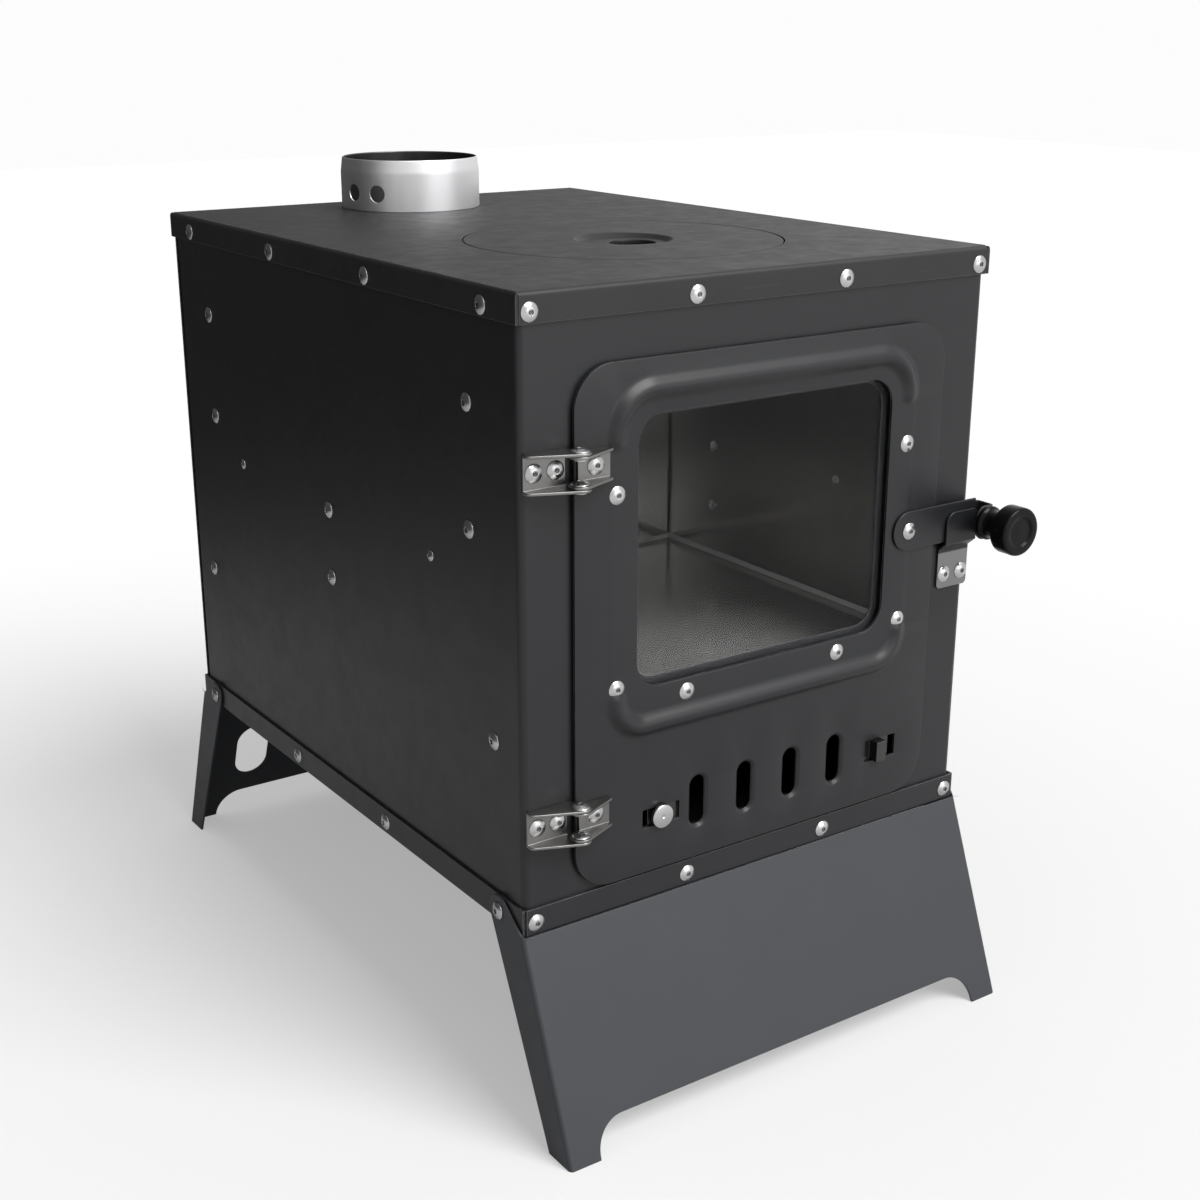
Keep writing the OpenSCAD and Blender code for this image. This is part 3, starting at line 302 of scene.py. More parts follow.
@dataclass(frozen=True)
class Finish:
    """A painted, bare or moulded surface, built as a material when asked.

    Args:
        name: The material's name.
        slot: The record's material slot.
        low: Base colour where the patches are weak.
        high: Base colour where they are strong.
        rough: Roughness from smooth to dull patches.
        metallic: 1 for bare metal.
        specular: The shader's specular level.
        stretch: How far the patterns are drawn out along each axis.
        grain: Size of the grain.
        bump: Depth of the grain.
        speck: Size of pale specks, as a share of their spacing.
        mark: Colour of specks and scratches.
        scratch: Width of scratches, as a share of their spacing.
        edge_highlight: Colour of the painted highlight on rounded edges, or nothing where there is none.
        painted_top_shade: Heights over which a painted shade darkens the colour towards the top, and the
            shade's colour.
        band: A surface of another kind along the foot: bare metal on the catch, a pale painted highlight
            along the liners.
        bore_shade: Painted shade on the inside of a tube.
        waves: Depth of broad waves in the sheet.
    """

    name: str
    slot: str
    low: Color
    high: Color
    rough: Pair
    metallic: float = 0.0
    specular: float = 0.5
    stretch: Triple = (1.0, 1.0, 1.0)
    grain: float = 0.8
    bump: float = 0.02
    speck: float = 0.0
    mark: Color = (0.3, 0.3, 0.3)
    scratch: float = 0.0
    edge_highlight: Color | None = None
    painted_top_shade: tuple[Pair, Color] | None = None
    band: Band | None = None
    bore_shade: ShadedBore | None = None
    waves: float = 0.0

    PATCH_LEVEL = (0.35, 0.65)
    CLOUD_LEVEL = (0.32, 0.68)
    SCRATCH_WEIGHT = 0.35
    BAND_BLUR = 0.3
    HIGHLIGHT_RADIUS = 0.5
    HIGHLIGHT_SAMPLES = 4
    HIGHLIGHT_MATCH = (0.97, 0.84)
    HIGHLIGHT_LEVEL = (0.35, 0.6)
    HIGHLIGHT_LEAST = 0.45

    def build(self, marks: MarkGroup) -> Material:
        """Make the material: the marks steer colour, roughness and normal, the rest sits on the shader.

        Args:
            marks: The shared node group.

        Returns:
            The material.
        """
        material, tree, shader = new_material(self.name)
        group = add_node(tree, "Group", {"Stretch": self.stretch, "Grain Size": self.grain,
                                         "Speck Size": self.speck, "Scratch Width": self.scratch},
                         node_tree=marks.tree).outputs
        color = mixed(tree, ranged(tree, group["Broad"], self.PATCH_LEVEL, (0.0, 1.0)), self.low, self.high)
        if self.speck:
            color = mixed(tree, group["Specks"], color, self.mark)
        if self.scratch:
            faint = ranged(tree, group["Scratches"], (0.0, 1.0), (0.0, self.SCRATCH_WEIGHT))
            color = mixed(tree, faint, color, self.mark)
        # Painted highlight: rounded edges get a lighter colour that stands in for the light they catch.
        if self.edge_highlight:
            color = mixed(tree, self.edge_highlight_mask(tree, group["Cloud"]), color, self.edge_highlight)
        # Painted shade: the colour darkens towards the top between two heights.
        if self.painted_top_shade:
            color = mixed(tree, height_mask(tree, self.painted_top_shade[0]), color, self.painted_top_shade[1])
        rough, metallic = ranged(tree, group["Cloud"], self.CLOUD_LEVEL, self.rough), self.metallic
        # Painted shade: faces that look into the tube get a dark colour.
        if self.bore_shade:
            color = mixed(tree, self.bore_shade.mask(tree), color, self.bore_shade.color)
        # A band along the foot: bare metal on the catch; on the liners a pale painted highlight that stands
        # in for the light on their bent corner.
        if self.band:
            mask = height_mask(tree, (self.band.top + self.BAND_BLUR, self.band.top - self.BAND_BLUR))
            color = mixed(tree, mask, color, self.band.color)
            rough = ranged(tree, mask, (0.0, 1.0), (self.rough[0], self.band.rough))
            metallic = ranged(tree, mask, (0.0, 1.0), (self.metallic, self.band.metallic))
        bump = add_node(tree, "Bump", {"Distance": self.bump * MM, "Height": group["Grain"]})
        if self.waves:
            broad = add_node(tree, "Bump", {"Distance": self.waves * MM, "Height": group["Broad"]})
            feed(tree, bump, {"Normal": broad.outputs["Normal"]})
        feed(tree, shader, {"Base Color": color, "Roughness": rough, "Metallic": metallic,
                            "Specular IOR Level": self.specular, "Normal": bump.outputs["Normal"]})
        return material

    def edge_highlight_mask(self, tree: Tree, patches: Socket) -> Socket:
        """Return a mask of edges that get a painted highlight: where a rounded normal turns away from the
        real one, in patches.

        Args:
            tree: The node tree.
            patches: Noise that breaks the highlight up.

        Returns:
            The mask.
        """
        rounded = add_node(tree, "Bevel", {"Radius": self.HIGHLIGHT_RADIUS * MM}, samples=self.HIGHLIGHT_SAMPLES)
        match = dotted(tree, rounded.outputs[0], normal(tree))
        turned = ranged(tree, match, self.HIGHLIGHT_MATCH, (0.0, 1.0))
        return combined(tree, "MULTIPLY", turned,
                        ranged(tree, patches, self.HIGHLIGHT_LEVEL, (self.HIGHLIGHT_LEAST, 1.0)))


class Kind(Enum):
    """The finishes that the stove shows."""

    PAINT = Finish("black_paint", "painted_sheet", (0.0118, 0.0121, 0.0135), (0.0132, 0.0135, 0.015),
                   (0.33, 0.4), specular=0.32, edge_highlight=(0.26, 0.26, 0.262))
    TOP = Finish("top_paint", "painted_sheet", (0.0122, 0.0122, 0.0131), (0.0146, 0.0146, 0.0154),
                 (0.42, 0.52), specular=0.33, speck=0.03, scratch=0.006, mark=(0.08, 0.078, 0.075),
                 edge_highlight=(0.2, 0.2, 0.202), waves=0.3)
    # A lighter, bluish paint than the body's; part of that lightness is painted light that stands in for the
    # light the tilted leg plates catch.
    LEG = Finish("leg_paint", "painted_sheet", (0.0275, 0.0292, 0.0335), (0.0292, 0.031, 0.0355),
                 (0.42, 0.48), specular=0.36, edge_highlight=(0.15, 0.15, 0.155))
    # The collar's inside gets a painted shade.
    SATIN = Finish("satin_stainless", "stainless", (0.74, 0.74, 0.75), (0.68, 0.68, 0.69), (0.38, 0.46),
                   1.0, stretch=(1.0, 1.0, 6.0), grain=0.5, bump=0.004,
                   bore_shade=ShadedBore((-7.0, 152.0), (0.12, 0.12, 0.12)))
    CATCH = Finish("catch_paint", "painted_sheet", (0.0118, 0.0121, 0.0135), (0.0132, 0.0135, 0.015),
                   (0.36, 0.42), specular=0.32, edge_highlight=(0.09, 0.09, 0.092),
                   band=Band(266.0, (0.2, 0.2, 0.2), 1.0, 0.3))
    # Painted light and shade: the firebox's back, walls and floor are one stainless steel, given different
    # base colours, a darker top and a pale foot.
    BACK = Finish("back_stainless", "stainless", (0.52, 0.517, 0.505), (0.46, 0.457, 0.445), (0.18, 0.22),
                  1.0, bump=0.0, painted_top_shade=((300.0, 390.0), (0.17, 0.169, 0.165)),
                  band=Band(218.0, (0.5, 0.49, 0.47), 0.0, 0.8))
    WALL = Finish("wall_stainless", "stainless", (0.42, 0.418, 0.408), (0.37, 0.368, 0.36), (0.17, 0.21),
                  1.0, bump=0.0, painted_top_shade=((235.0, 310.0), (0.06, 0.0595, 0.058)),
                  band=Band(218.5, (0.6, 0.59, 0.57), 0.0, 0.8))
    FLOOR = Finish("floor_stainless", "stainless", (0.36, 0.358, 0.35), (0.31, 0.308, 0.302), (0.17, 0.19),
                   0.7, bump=0.0)
    STEEL = Finish("plain_steel", "bare_steel", (0.24, 0.238, 0.23), (0.16, 0.158, 0.154), (0.28, 0.42),
                   1.0, grain=0.5, bump=0.01, scratch=0.02, mark=(0.4, 0.4, 0.4))
    TAB = Finish("dark_steel", "bare_steel", (0.075, 0.074, 0.072), (0.05, 0.05, 0.05), (0.3, 0.45), 1.0,
                 grain=0.5, bump=0.01)
    RIVET = Finish("rivet_shell", "rivet_steel", (0.5, 0.5, 0.5), (0.4, 0.4, 0.4), (0.2, 0.32), 1.0,
                   grain=0.4, bump=0.006)
    PIN = Finish("rivet_core", "rivet_pin", (0.13, 0.13, 0.13), (0.08, 0.08, 0.08), (0.35, 0.5), 1.0,
                 grain=0.4, bump=0.01)
    KNOB = Finish("gloss_black", "knob", (0.0035, 0.0035, 0.0038), (0.005, 0.005, 0.0053), (0.16, 0.24),
                  specular=0.12, grain=0.5, bump=0.002)
    SEAL = Finish("woven_seal", "seal", (0.09, 0.085, 0.078), (0.05, 0.048, 0.045), (0.85, 0.95), grain=1.1,
                  bump=0.3)

    @property
    def slot(self) -> str:
        """The record's material slot."""
        return self.value.slot


class Glass:
    """The window's clear glass with faint smears."""

    NAME = "clear_glass"
    TINT = (0.965, 0.97, 0.97, 1.0)
    SHADOW_TINT = (0.93, 0.935, 0.935, 1.0)
    IOR = 1.15
    SMEAR_LEVEL = (0.5, 0.8)
    SMEAR_ROUGHNESS = 0.012

    def build(self, marks: MarkGroup) -> Material:
        """Make the material, which lets shadow rays straight through.

        Args:
            marks: The shared node group.

        Returns:
            The material.
        """
        material, tree, shader = new_material(self.NAME)
        group = add_node(tree, "Group", {}, node_tree=marks.tree)
        smear = ranged(tree, group.outputs["Broad"], self.SMEAR_LEVEL, (0.0, self.SMEAR_ROUGHNESS))
        feed(tree, shader, {"Base Color": self.TINT, "Roughness": smear, "IOR": self.IOR,
                            "Transmission Weight": 1.0})
        clear = add_node(tree, "BsdfTransparent", {"Color": self.SHADOW_TINT})
        shadow = add_node(tree, "LightPath", {}).outputs["Is Shadow Ray"]
        mix = add_node(tree, "MixShader", {0: shadow, 1: shader.outputs[0], 2: clear.outputs[0]})
        feed(tree, tree.nodes["Material Output"], {"Surface": mix.outputs[0]})
        return material


class Palette:
    """Every material of the stove, built once.

    Args:
        marks: The shared node group.
    """

    def __init__(self, marks: MarkGroup) -> None:
        self.materials = {kind: kind.value.build(marks) for kind in Kind}
        self.glass = Glass().build(marks)

    def __getitem__(self, kind: Kind) -> Material:
        """Return one finish's material."""
        return self.materials[kind]


def make_piece(name: str, points: np.ndarray, faces: list, material: Material,
               sharp: float = 50.0) -> bpy.types.Object:
    """Make an object from points in millimetres.

    Args:
        name: The piece's name.
        points: An array of points.
        faces: Tuples of point numbers.
        material: Its material.
        sharp: Edges that turn more than this stay sharp, in degrees.

    Returns:
        The object, at the origin.
    """
    mesh = bpy.data.meshes.new(name)
    mesh.from_pydata((points * MM).tolist(), [], faces)
    mesh.validate()
    mesh.shade_smooth()
    mesh.set_sharp_from_angle(angle=math.radians(sharp))
    mesh.materials.append(material)
    return placed(name, mesh)


def mount(piece: bpy.types.Object, body: Body, slot: str, *nodes: str) -> None:
    """Put a piece on its body and hide what it stands for.

    Args:
        piece: The piece.
        body: The body that it rides on.
        slot: The record's material slot; not used.
        nodes: CAD nodes that it replaces.
    """
    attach(piece, body.value)
    if nodes:
        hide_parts(*nodes)
    log.info("%s rides on %s", piece.name, body.value)


@dataclass(frozen=True)
class Spindle:
    """An axis that profiles are turned about.

    Args:
        origin: Where it stands.
        axis: Its unit direction.
    """

    origin: np.ndarray
    axis: np.ndarray

    @classmethod
    def forward(cls, centre: Pair, back: float) -> "Spindle":
        """Return a spindle that points to the front from a place across, up and back."""
        return cls(np.array([centre[0], back, centre[1]]), np.array([0.0, -1.0, 0.0]))

    def turn(self, profile: np.ndarray, count: int) -> tuple[np.ndarray, list]:
        """Turn a profile of radius and height about the axis.

        A point is the origin plus height times the axis plus radius times the circle's direction at the
        turn's angle. Both ends of the profile lie on the axis and close on one point each.

        Args:
            profile: Rows of radius and height, from the low pole to the high one.
            count: Steps round the turn.

        Returns:
            The points and the faces.
        """
        helper = np.eye(3)[np.argmin(np.abs(self.axis))]
        across = np.cross(helper, self.axis)
        across /= np.linalg.norm(across)
        angle = np.linspace(0.0, 2.0 * np.pi, count, endpoint=False)
        circle = np.cos(angle)[:, None] * across + np.sin(angle)[:, None] * np.cross(self.axis, across)
        inner = profile[1:-1]
        ring = self.origin + inner[:, 1, None, None] * self.axis + inner[:, 0, None, None] * circle
        poles = self.origin + profile[[0, -1], 1, None] * self.axis
        grid = np.arange(len(inner) * count).reshape(-1, count)
        ahead = np.roll(grid, -1, axis=1)
        quads = np.stack([grid[:-1], ahead[:-1], ahead[1:], grid[1:]], axis=-1).reshape(-1, 4)
        low_fan = np.stack([ahead[0], grid[0], np.full(count, grid.size)], axis=-1)
        high_fan = np.stack([grid[-1], ahead[-1], np.full(count, grid.size + 1)], axis=-1)
        return np.concatenate([ring.reshape(-1, 3), poles]), [*quads.tolist(), *low_fan.tolist(),
                                                              *high_fan.tolist()]


def joined(parts: list[tuple[np.ndarray, list]]) -> tuple[np.ndarray, list]:
    """Join several meshes' points and faces.

    Args:
        parts: Points and faces of each.

    Returns:
        All points and all faces.
    """
    points, faces, shift = [], [], 0
    for cloud, sides in parts:
        points.append(cloud)
        faces += [tuple(i + shift for i in side) for side in sides]
        shift += len(cloud)
    return np.concatenate(points), faces


def node_points(node: bpy.types.Object) -> np.ndarray:
    """Return a CAD node's points, in millimetres."""
    flat = np.empty(len(node.data.vertices) * 3)
    node.data.vertices.foreach_get("co", flat)
    return flat.reshape(-1, 3) / MM


def solids(node: bpy.types.Object) -> list[np.ndarray]:
    """Return the points of each separate solid of a CAD node.

    Points at one place count as one. Each then takes the lowest label among the triangles round it, until
    nothing changes, so a solid ends with one label.

    Args:
        node: The CAD node.

    Returns:
        One array of points for each solid.
    """
    points = node_points(node)
    loops = np.empty(len(node.data.loops), np.int32)
    node.data.loops.foreach_get("vertex_index", loops)
    _, same = np.unique(np.round(points, 3), axis=0, return_inverse=True)
    triangles = same.ravel()[loops].reshape(-1, 3)
    label = np.arange(triangles.max() + 1)
    while True:
        low = np.repeat(label[triangles].min(axis=1), 3)
        spread = label.copy()
        np.minimum.at(spread, triangles.ravel(), low)
        spread = spread[spread]
        if np.array_equal(spread, label):
            break
        label = spread
    owner = label[same.ravel()]
    return [points[owner == value] for value in np.unique(owner)]


@dataclass
class SheetWork:
    """The folded sheets, plates and brackets that keep their CAD shape.

    Args:
        edges: Finish and edge radius by CAD node.
        edges: Finish and edge radius by CAD node.
        weld: Points nearer than this count as one.
        turn: Edges that turn more than this are rounded, in degrees.
        flatness: How far large faces rule the shading, up to 100.
    """

    edges: dict[str, tuple[Kind, float]] = field(default_factory=lambda: {
        "outer_wrapper": (Kind.PAINT, 0.4), "rear_panel": (Kind.PAINT, 0.4), "top_cap": (Kind.TOP, 0.18),
        "base_tray": (Kind.PAINT, 0.18), "firebox_floor": (Kind.FLOOR, 0.3), "left_liner": (Kind.WALL, 0.25),
        "right_liner": (Kind.WALL, 0.25), "back_liner": (Kind.BACK, 0.25), "flue_collar": (Kind.SATIN, 0.2),
        "liner_spacers": (Kind.STEEL, 0.2), "plate_seat_ring": (Kind.PAINT, 0.3),
        "upper_body_hinge": (Kind.STEEL, 0.4), "lower_body_hinge": (Kind.STEEL, 0.4),
        "upper_door_hinge": (Kind.STEEL, 0.35), "lower_door_hinge": (Kind.STEEL, 0.35),
        "catch_plate": (Kind.CATCH, 0.4), "glass_gasket": (Kind.SEAL, 0.1),
        "glass_retainer": (Kind.PAINT, 0.3), "retainer_spacers": (Kind.STEEL, 0.2),
        "door_seal": (Kind.SEAL, 0.3), "slider_guides": (Kind.PAINT, 0.25), "latch_arm": (Kind.PAINT, 0.4),
        "knob_screw": (Kind.PIN, 0.2), "air_slider": (Kind.TAB, 0.3), "hot_plate": (Kind.TOP, 0.6),
        "finger_cup": (Kind.PAINT, 0.3), "front_leg": (Kind.LEG, 0.45), "rear_leg": (Kind.LEG, 0.45),
    })
    weld: float = 0.002
    turn: float = 32.0
    flatness: int = 80

    def build(self, frame: Frame, palette: Palette) -> None:
        """Dress the nodes.

        Args:
            frame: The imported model.
            palette: The materials.
        """
        for name, (kind, edge) in self.edges.items():
            self.soften(frame["nodes"][name], palette[kind], edge)
            log.info("%s keeps its shape in %s", name, kind.name.lower())
        glass = frame["nodes"]["window_glass"].data
        glass.shade_flat()
        glass.materials.clear()
        glass.materials.append(palette.glass)

    def soften(self, node: bpy.types.Object, material: Material, edge: float) -> None:
        """Keep a CAD node, with its edges rounded by modifiers and its faces kept flat.

        Args:
            node: The CAD node.
            material: Its material.
            edge: Radius of its edges.
        """
        mesh = node.data
        normals = mesh.attributes.get("custom_normal")
        if normals is not None:
            mesh.attributes.remove(normals)
        mesh.shade_smooth()
        mesh.materials.clear()
        mesh.materials.append(material)
        weld = node.modifiers.new("weld", "WELD")
        weld.merge_threshold = self.weld * MM
        bevel = node.modifiers.new("soft edges", "BEVEL")
        bevel.width = edge * MM
        bevel.segments = 2
        bevel.limit_method = "ANGLE"
        bevel.angle_limit = math.radians(self.turn)
        bevel.loop_slide = False
        bevel.use_clamp_overlap = False
        shade = node.modifiers.new("flat shading", "WEIGHTED_NORMAL")
        shade.mode = "FACE_AREA"
        shade.weight = self.flatness


@dataclass(frozen=True)
class Outline:
    """A rectangle with round corners, seen from the front.

    Args:
        centre: Its middle, across and up.
        half: Half its width and half its height.
        corner: Radius of its corners.
    """

    centre: Pair
    half: Pair
    corner: float
    CORNER_POINTS = 11

    def rings(self, offsets: tuple[float, ...], step: float) -> np.ndarray:
        """Return rings of points at distances outside the outline.

        A ring's point is a spot on the rectangle that joins the corners' middles, plus the corner's radius
        and the distance times the outward direction. The direction turns at the corners only.

        Args:
            offsets: The distances, below 0 for inside.
            step: Longest distance between points on a straight side.

        Returns:
            Rings by points by two coordinates.
        """
        signs = np.array([[1, 1], [-1, 1], [-1, -1], [1, -1]])
        middles = np.array(self.centre) + signs * (np.array(self.half) - self.corner)
        spots, ways = [], []
        for quarter, (here, there) in enumerate(zip(middles, np.roll(middles, -1, axis=0))):
            turn = np.linspace(quarter, quarter + 1, self.CORNER_POINTS) * np.pi / 2
            way = np.stack([np.cos(turn), np.sin(turn)], axis=-1)
            along = np.linspace(0, 1, max(int(np.linalg.norm(there - here) / step), 1) + 1)[1:-1, None]
            spots += [np.repeat(here[None], len(turn), axis=0), here + along * (there - here)]
            ways += [way, np.repeat(way[-1:], len(along), axis=0)]
        reach = self.corner + np.array(offsets)[:, None, None]
        return np.concatenate(spots) + reach * np.concatenate(ways)

    def distance(self, points: np.ndarray) -> np.ndarray:
        """Return how far each point lies outside the outline, below 0 inside it."""
        away = np.abs(points - np.array(self.centre)) - (np.array(self.half) - self.corner)
        return np.linalg.norm(np.maximum(away, 0), axis=1) + np.minimum(away.max(axis=1), 0) - self.corner


def smooth(share: np.ndarray) -> np.ndarray:
    """Return a soft step: three times the square less twice the cube, clamped."""
    share = np.clip(share, 0.0, 1.0)
    return share * share * (3.0 - 2.0 * share)


@dataclass
class DoorSheet:
    """The pressed door sheet, with two beads, a raised field, drawn-in slot rims and rounded cut edges.

    Args:
        front: Its flat face, front to back.
        thick: Its gauge.
        outline: Its outer edge.
        window: The window's opening.
        panel: The raised middle field.
        panel_rise: How far it is raised.
        panel_slope: Width of its slope.
        slots: The air slots.
        openings: The openings for the button and the tab.
        bead_rise: Height of a bead.
        bead_half: Half its width, with its fillets.
        bead_end: Height that is left at its ends, as a share.
        bead_fade: Length over which it falls to that.
        high_bead: The upper bead's upright ends, its top and its corner radius.
        low_bead: The lower bead's, and its bottom.
        rim_fall: How far a slot's rim is drawn in.
        rim_wide: Width of the rim.
        edge: Radius of the cut edges.
        edge_shares: Where rings of points lie over a cut edge's radius.
        rim_shares: Where they lie over a rim's width.
        steps: Distance of points along the large edges, the openings and the slots.
        lattice: Distance between points where the sheet is curved.
        lattice_box: Corners of the area where such points are laid.
        clear: Distance that they keep from beads and large edges.
    """

    front: float = -204.5
    thick: float = 1.5
    outline: Outline = Outline((0.0, 263.0), (119.5, 135.0), 22.0)
    window: Outline = Outline((0.0, 301.0), (82.5, 70.0), 15.0)
    panel: Outline = Outline((0.0, 297.0), (99.5, 90.5), 25.0)
    panel_rise: float = 0.22
    panel_slope: float = 3.0
    slots: tuple[Outline, ...] = tuple(Outline((x, 160.0), (5.0, 14.0), 4.999)
                                       for x in (-42.05, -10.35, 21.35, 53.05))
    openings: tuple[Outline, ...] = (Outline((-66.25, 158.5), (11.75, 5.0), 0.6),
                                     Outline((87.3, 158.5), (11.3, 6.3), 0.6))
    bead_rise: float = 3.28
    bead_half: float = 7.0
    bead_end: float = 0.72
    bead_fade: float = 16.0
    high_bead: Triple = (95.0, 383.0, 22.0)
    low_bead: Triple = (95.0, 211.0, 17.0)
    rim_fall: float = 1.0
    rim_wide: float = 1.9
    edge: float = 0.4
    edge_shares: tuple[float, ...] = (0.0, 0.12, 0.35, 0.65, 1.0)
    rim_shares: tuple[float, ...] = (0.3, 0.45, 0.6, 0.8, 1.0)
    steps: Triple = (6.0, 1.5, 1.2)
    lattice: float = 1.25
    lattice_box: tuple[Pair, Pair] = ((-118.0, 130.0), (118.0, 396.0))
    clear: float = 1.0
    BEND_POINTS = 60
    SIDE_POINTS = 298

    @staticmethod
    def centreline(across: float, level: float, radius: float, rise: float) -> np.ndarray:
        """Return points every half millimetre or so along a bead, from its left end to its right one.

        Args:
            across: How far out its upright ends stand.
            level: Where its long side lies.
            radius: Radius of its corners.
            rise: 1 where the corners turn up to the long side, -1 where they turn down to it.

        Returns:
            The points.
        """
        turn = np.linspace(np.pi, np.pi / 2, DoorSheet.BEND_POINTS)
        left = np.stack([radius - across + radius * np.cos(turn),
                         level + rise * radius * (np.sin(turn) - 1)], axis=-1)
        side = np.linspace(radius - across, across - radius, DoorSheet.SIDE_POINTS + 2)[1:-1]
        middle = np.stack([side, np.full(len(side), level)], axis=-1)
        return np.concatenate([left, middle, left[::-1] * [-1, 1]])

    def hump(self, points: np.ndarray, path: np.ndarray) -> np.ndarray:
        """Return a bead's height: the square of one less the square of the distance's share, times a fade.

        Args:
            points: Where it is wanted.
            path: The bead's centreline.

        Returns:
            The heights.
        """
        gaps = np.linalg.norm(points[:, None] - path[None], axis=2)
        nearest = gaps.argmin(axis=1)
        share = np.clip(gaps.min(axis=1) / self.bead_half, 0.0, 1.0)
        length = np.concatenate([[0.0], np.linalg.norm(np.diff(path, axis=0), axis=1).cumsum()])
        from_end = np.minimum(length, length[-1] - length)[nearest]
        fade = self.bead_end + (1 - self.bead_end) * smooth(from_end / self.bead_fade)
        return self.bead_rise * (1 - share ** 2) ** 2 * fade

    def rise(self, points: np.ndarray) -> tuple[np.ndarray, np.ndarray]:
        """Return how far the front and the back stand out over the flat sheet.

        Both follow the beads and the field. The front also falls at the slots' rims by a soft step and at
        every cut edge by a quarter circle.

        Args:
            points: Where it is wanted, across and up.

        Returns:
            The front's and the back's rise.
        """
        pressed = self.panel_rise * smooth(0.5 - self.panel.distance(points) / self.panel_slope)
        for ends, turns in ((self.high_bead, 1.0), (self.low_bead, -1.0)):
            pressed = pressed + self.hump(points, self.centreline(*ends, turns))
        fall = np.zeros(len(points))
        for slot in self.slots:
            fall += self.rim_fall * (1 - smooth(slot.distance(points) / self.rim_wide))
        inside = [-self.outline.distance(points)]
        inside += [hole.distance(points) for hole in (self.window, *self.slots, *self.openings)]
        short = np.clip(self.edge - np.min(inside, axis=0), 0.0, self.edge)
        fall += self.edge - np.sqrt(self.edge ** 2 - short ** 2)
        return pressed - fall, pressed

    def plan(self) -> tuple[np.ndarray, np.ndarray]:
        """Lay out the sheet's points and triangles, seen from the front.

        Returns:
            The points, across and up, and the triangles.
        """
        fine = tuple(self.edge * s for s in self.edge_shares)
        rim = tuple(self.rim_wide * s for s in self.rim_shares)
        large, small, least = self.steps
        loops = [self.outline.rings(tuple(-s for s in fine), large), self.window.rings(fine, large)]
        loops += [hole.rings(fine, small) for hole in self.openings]
        loops += [slot.rings(fine + rim, least) for slot in self.slots]
        points, edges, shift = [], [], 0
        for rings in loops:
            count = rings.shape[1]
            edges += [(shift + i, shift + (i + 1) % count) for i in range(count)]
            points.append(rings.reshape(-1, 2))
            shift += rings.shape[0] * count
        steps = [np.arange(low, high, self.lattice) for low, high in zip(*self.lattice_box)]
        grid = np.stack(np.meshgrid(*steps), axis=-1).reshape(-1, 2)
        pressed = np.concatenate([self.centreline(*self.high_bead, 1.0),
                                  self.centreline(*self.low_bead, -1.0)])
        near = np.concatenate([np.linalg.norm(part[:, None] - pressed[None, ::4], axis=2).min(axis=1)
                               for part in np.array_split(grid, 20)]) < self.bead_half + self.clear
        near |= np.abs(self.panel.distance(grid)) < self.panel_slope
        near &= (self.window.distance(grid) > self.clear) & (self.outline.distance(grid) < -self.clear)
        points = np.concatenate([*points, grid[near]])
        found = delaunay_2d_cdt([Vector(p) for p in points.tolist()], edges, [], 0, 1e-5)
        points, triangles = np.array([tuple(p) for p in found[0]]), np.array(found[2])
        middle = points[triangles].mean(axis=1)
        keep = self.outline.distance(middle) < 0
        for hole in (self.window, *self.slots, *self.openings):
            keep &= hole.distance(middle) > 0
        return points, triangles[keep]

    def build(self, palette: Palette) -> None:
        """Make the sheet from its front, its back and the walls between them at every cut edge.

        Args:
            palette: The materials.
        """
        flat, front = self.plan()
        rise, back_rise = (np.concatenate(part) for part in
                           zip(*(self.rise(part) for part in np.array_split(flat, 30))))
        count = len(flat)
        points = np.concatenate([np.insert(flat, 1, self.front - rise, axis=1),
                                 np.insert(flat, 1, self.front + self.thick - back_rise, axis=1)])
        sides = np.stack([front, np.roll(front, -1, axis=1)], axis=-1).reshape(-1, 2)
        key = sides[:, 0] * count + sides[:, 1]
        rim = sides[~np.isin(key, sides[:, 1] * count + sides[:, 0])]
        walls = np.stack([rim[:, 1], rim[:, 0], rim[:, 0] + count, rim[:, 1] + count], axis=-1)
        faces = [*front.tolist(), *(front[:, ::-1] + count).tolist(), *walls.tolist()]
        piece = make_piece("pressed_door_sheet", points, faces, palette[Kind.PAINT])
        mount(piece, Body.DOOR, Kind.PAINT.slot, "door_panel")


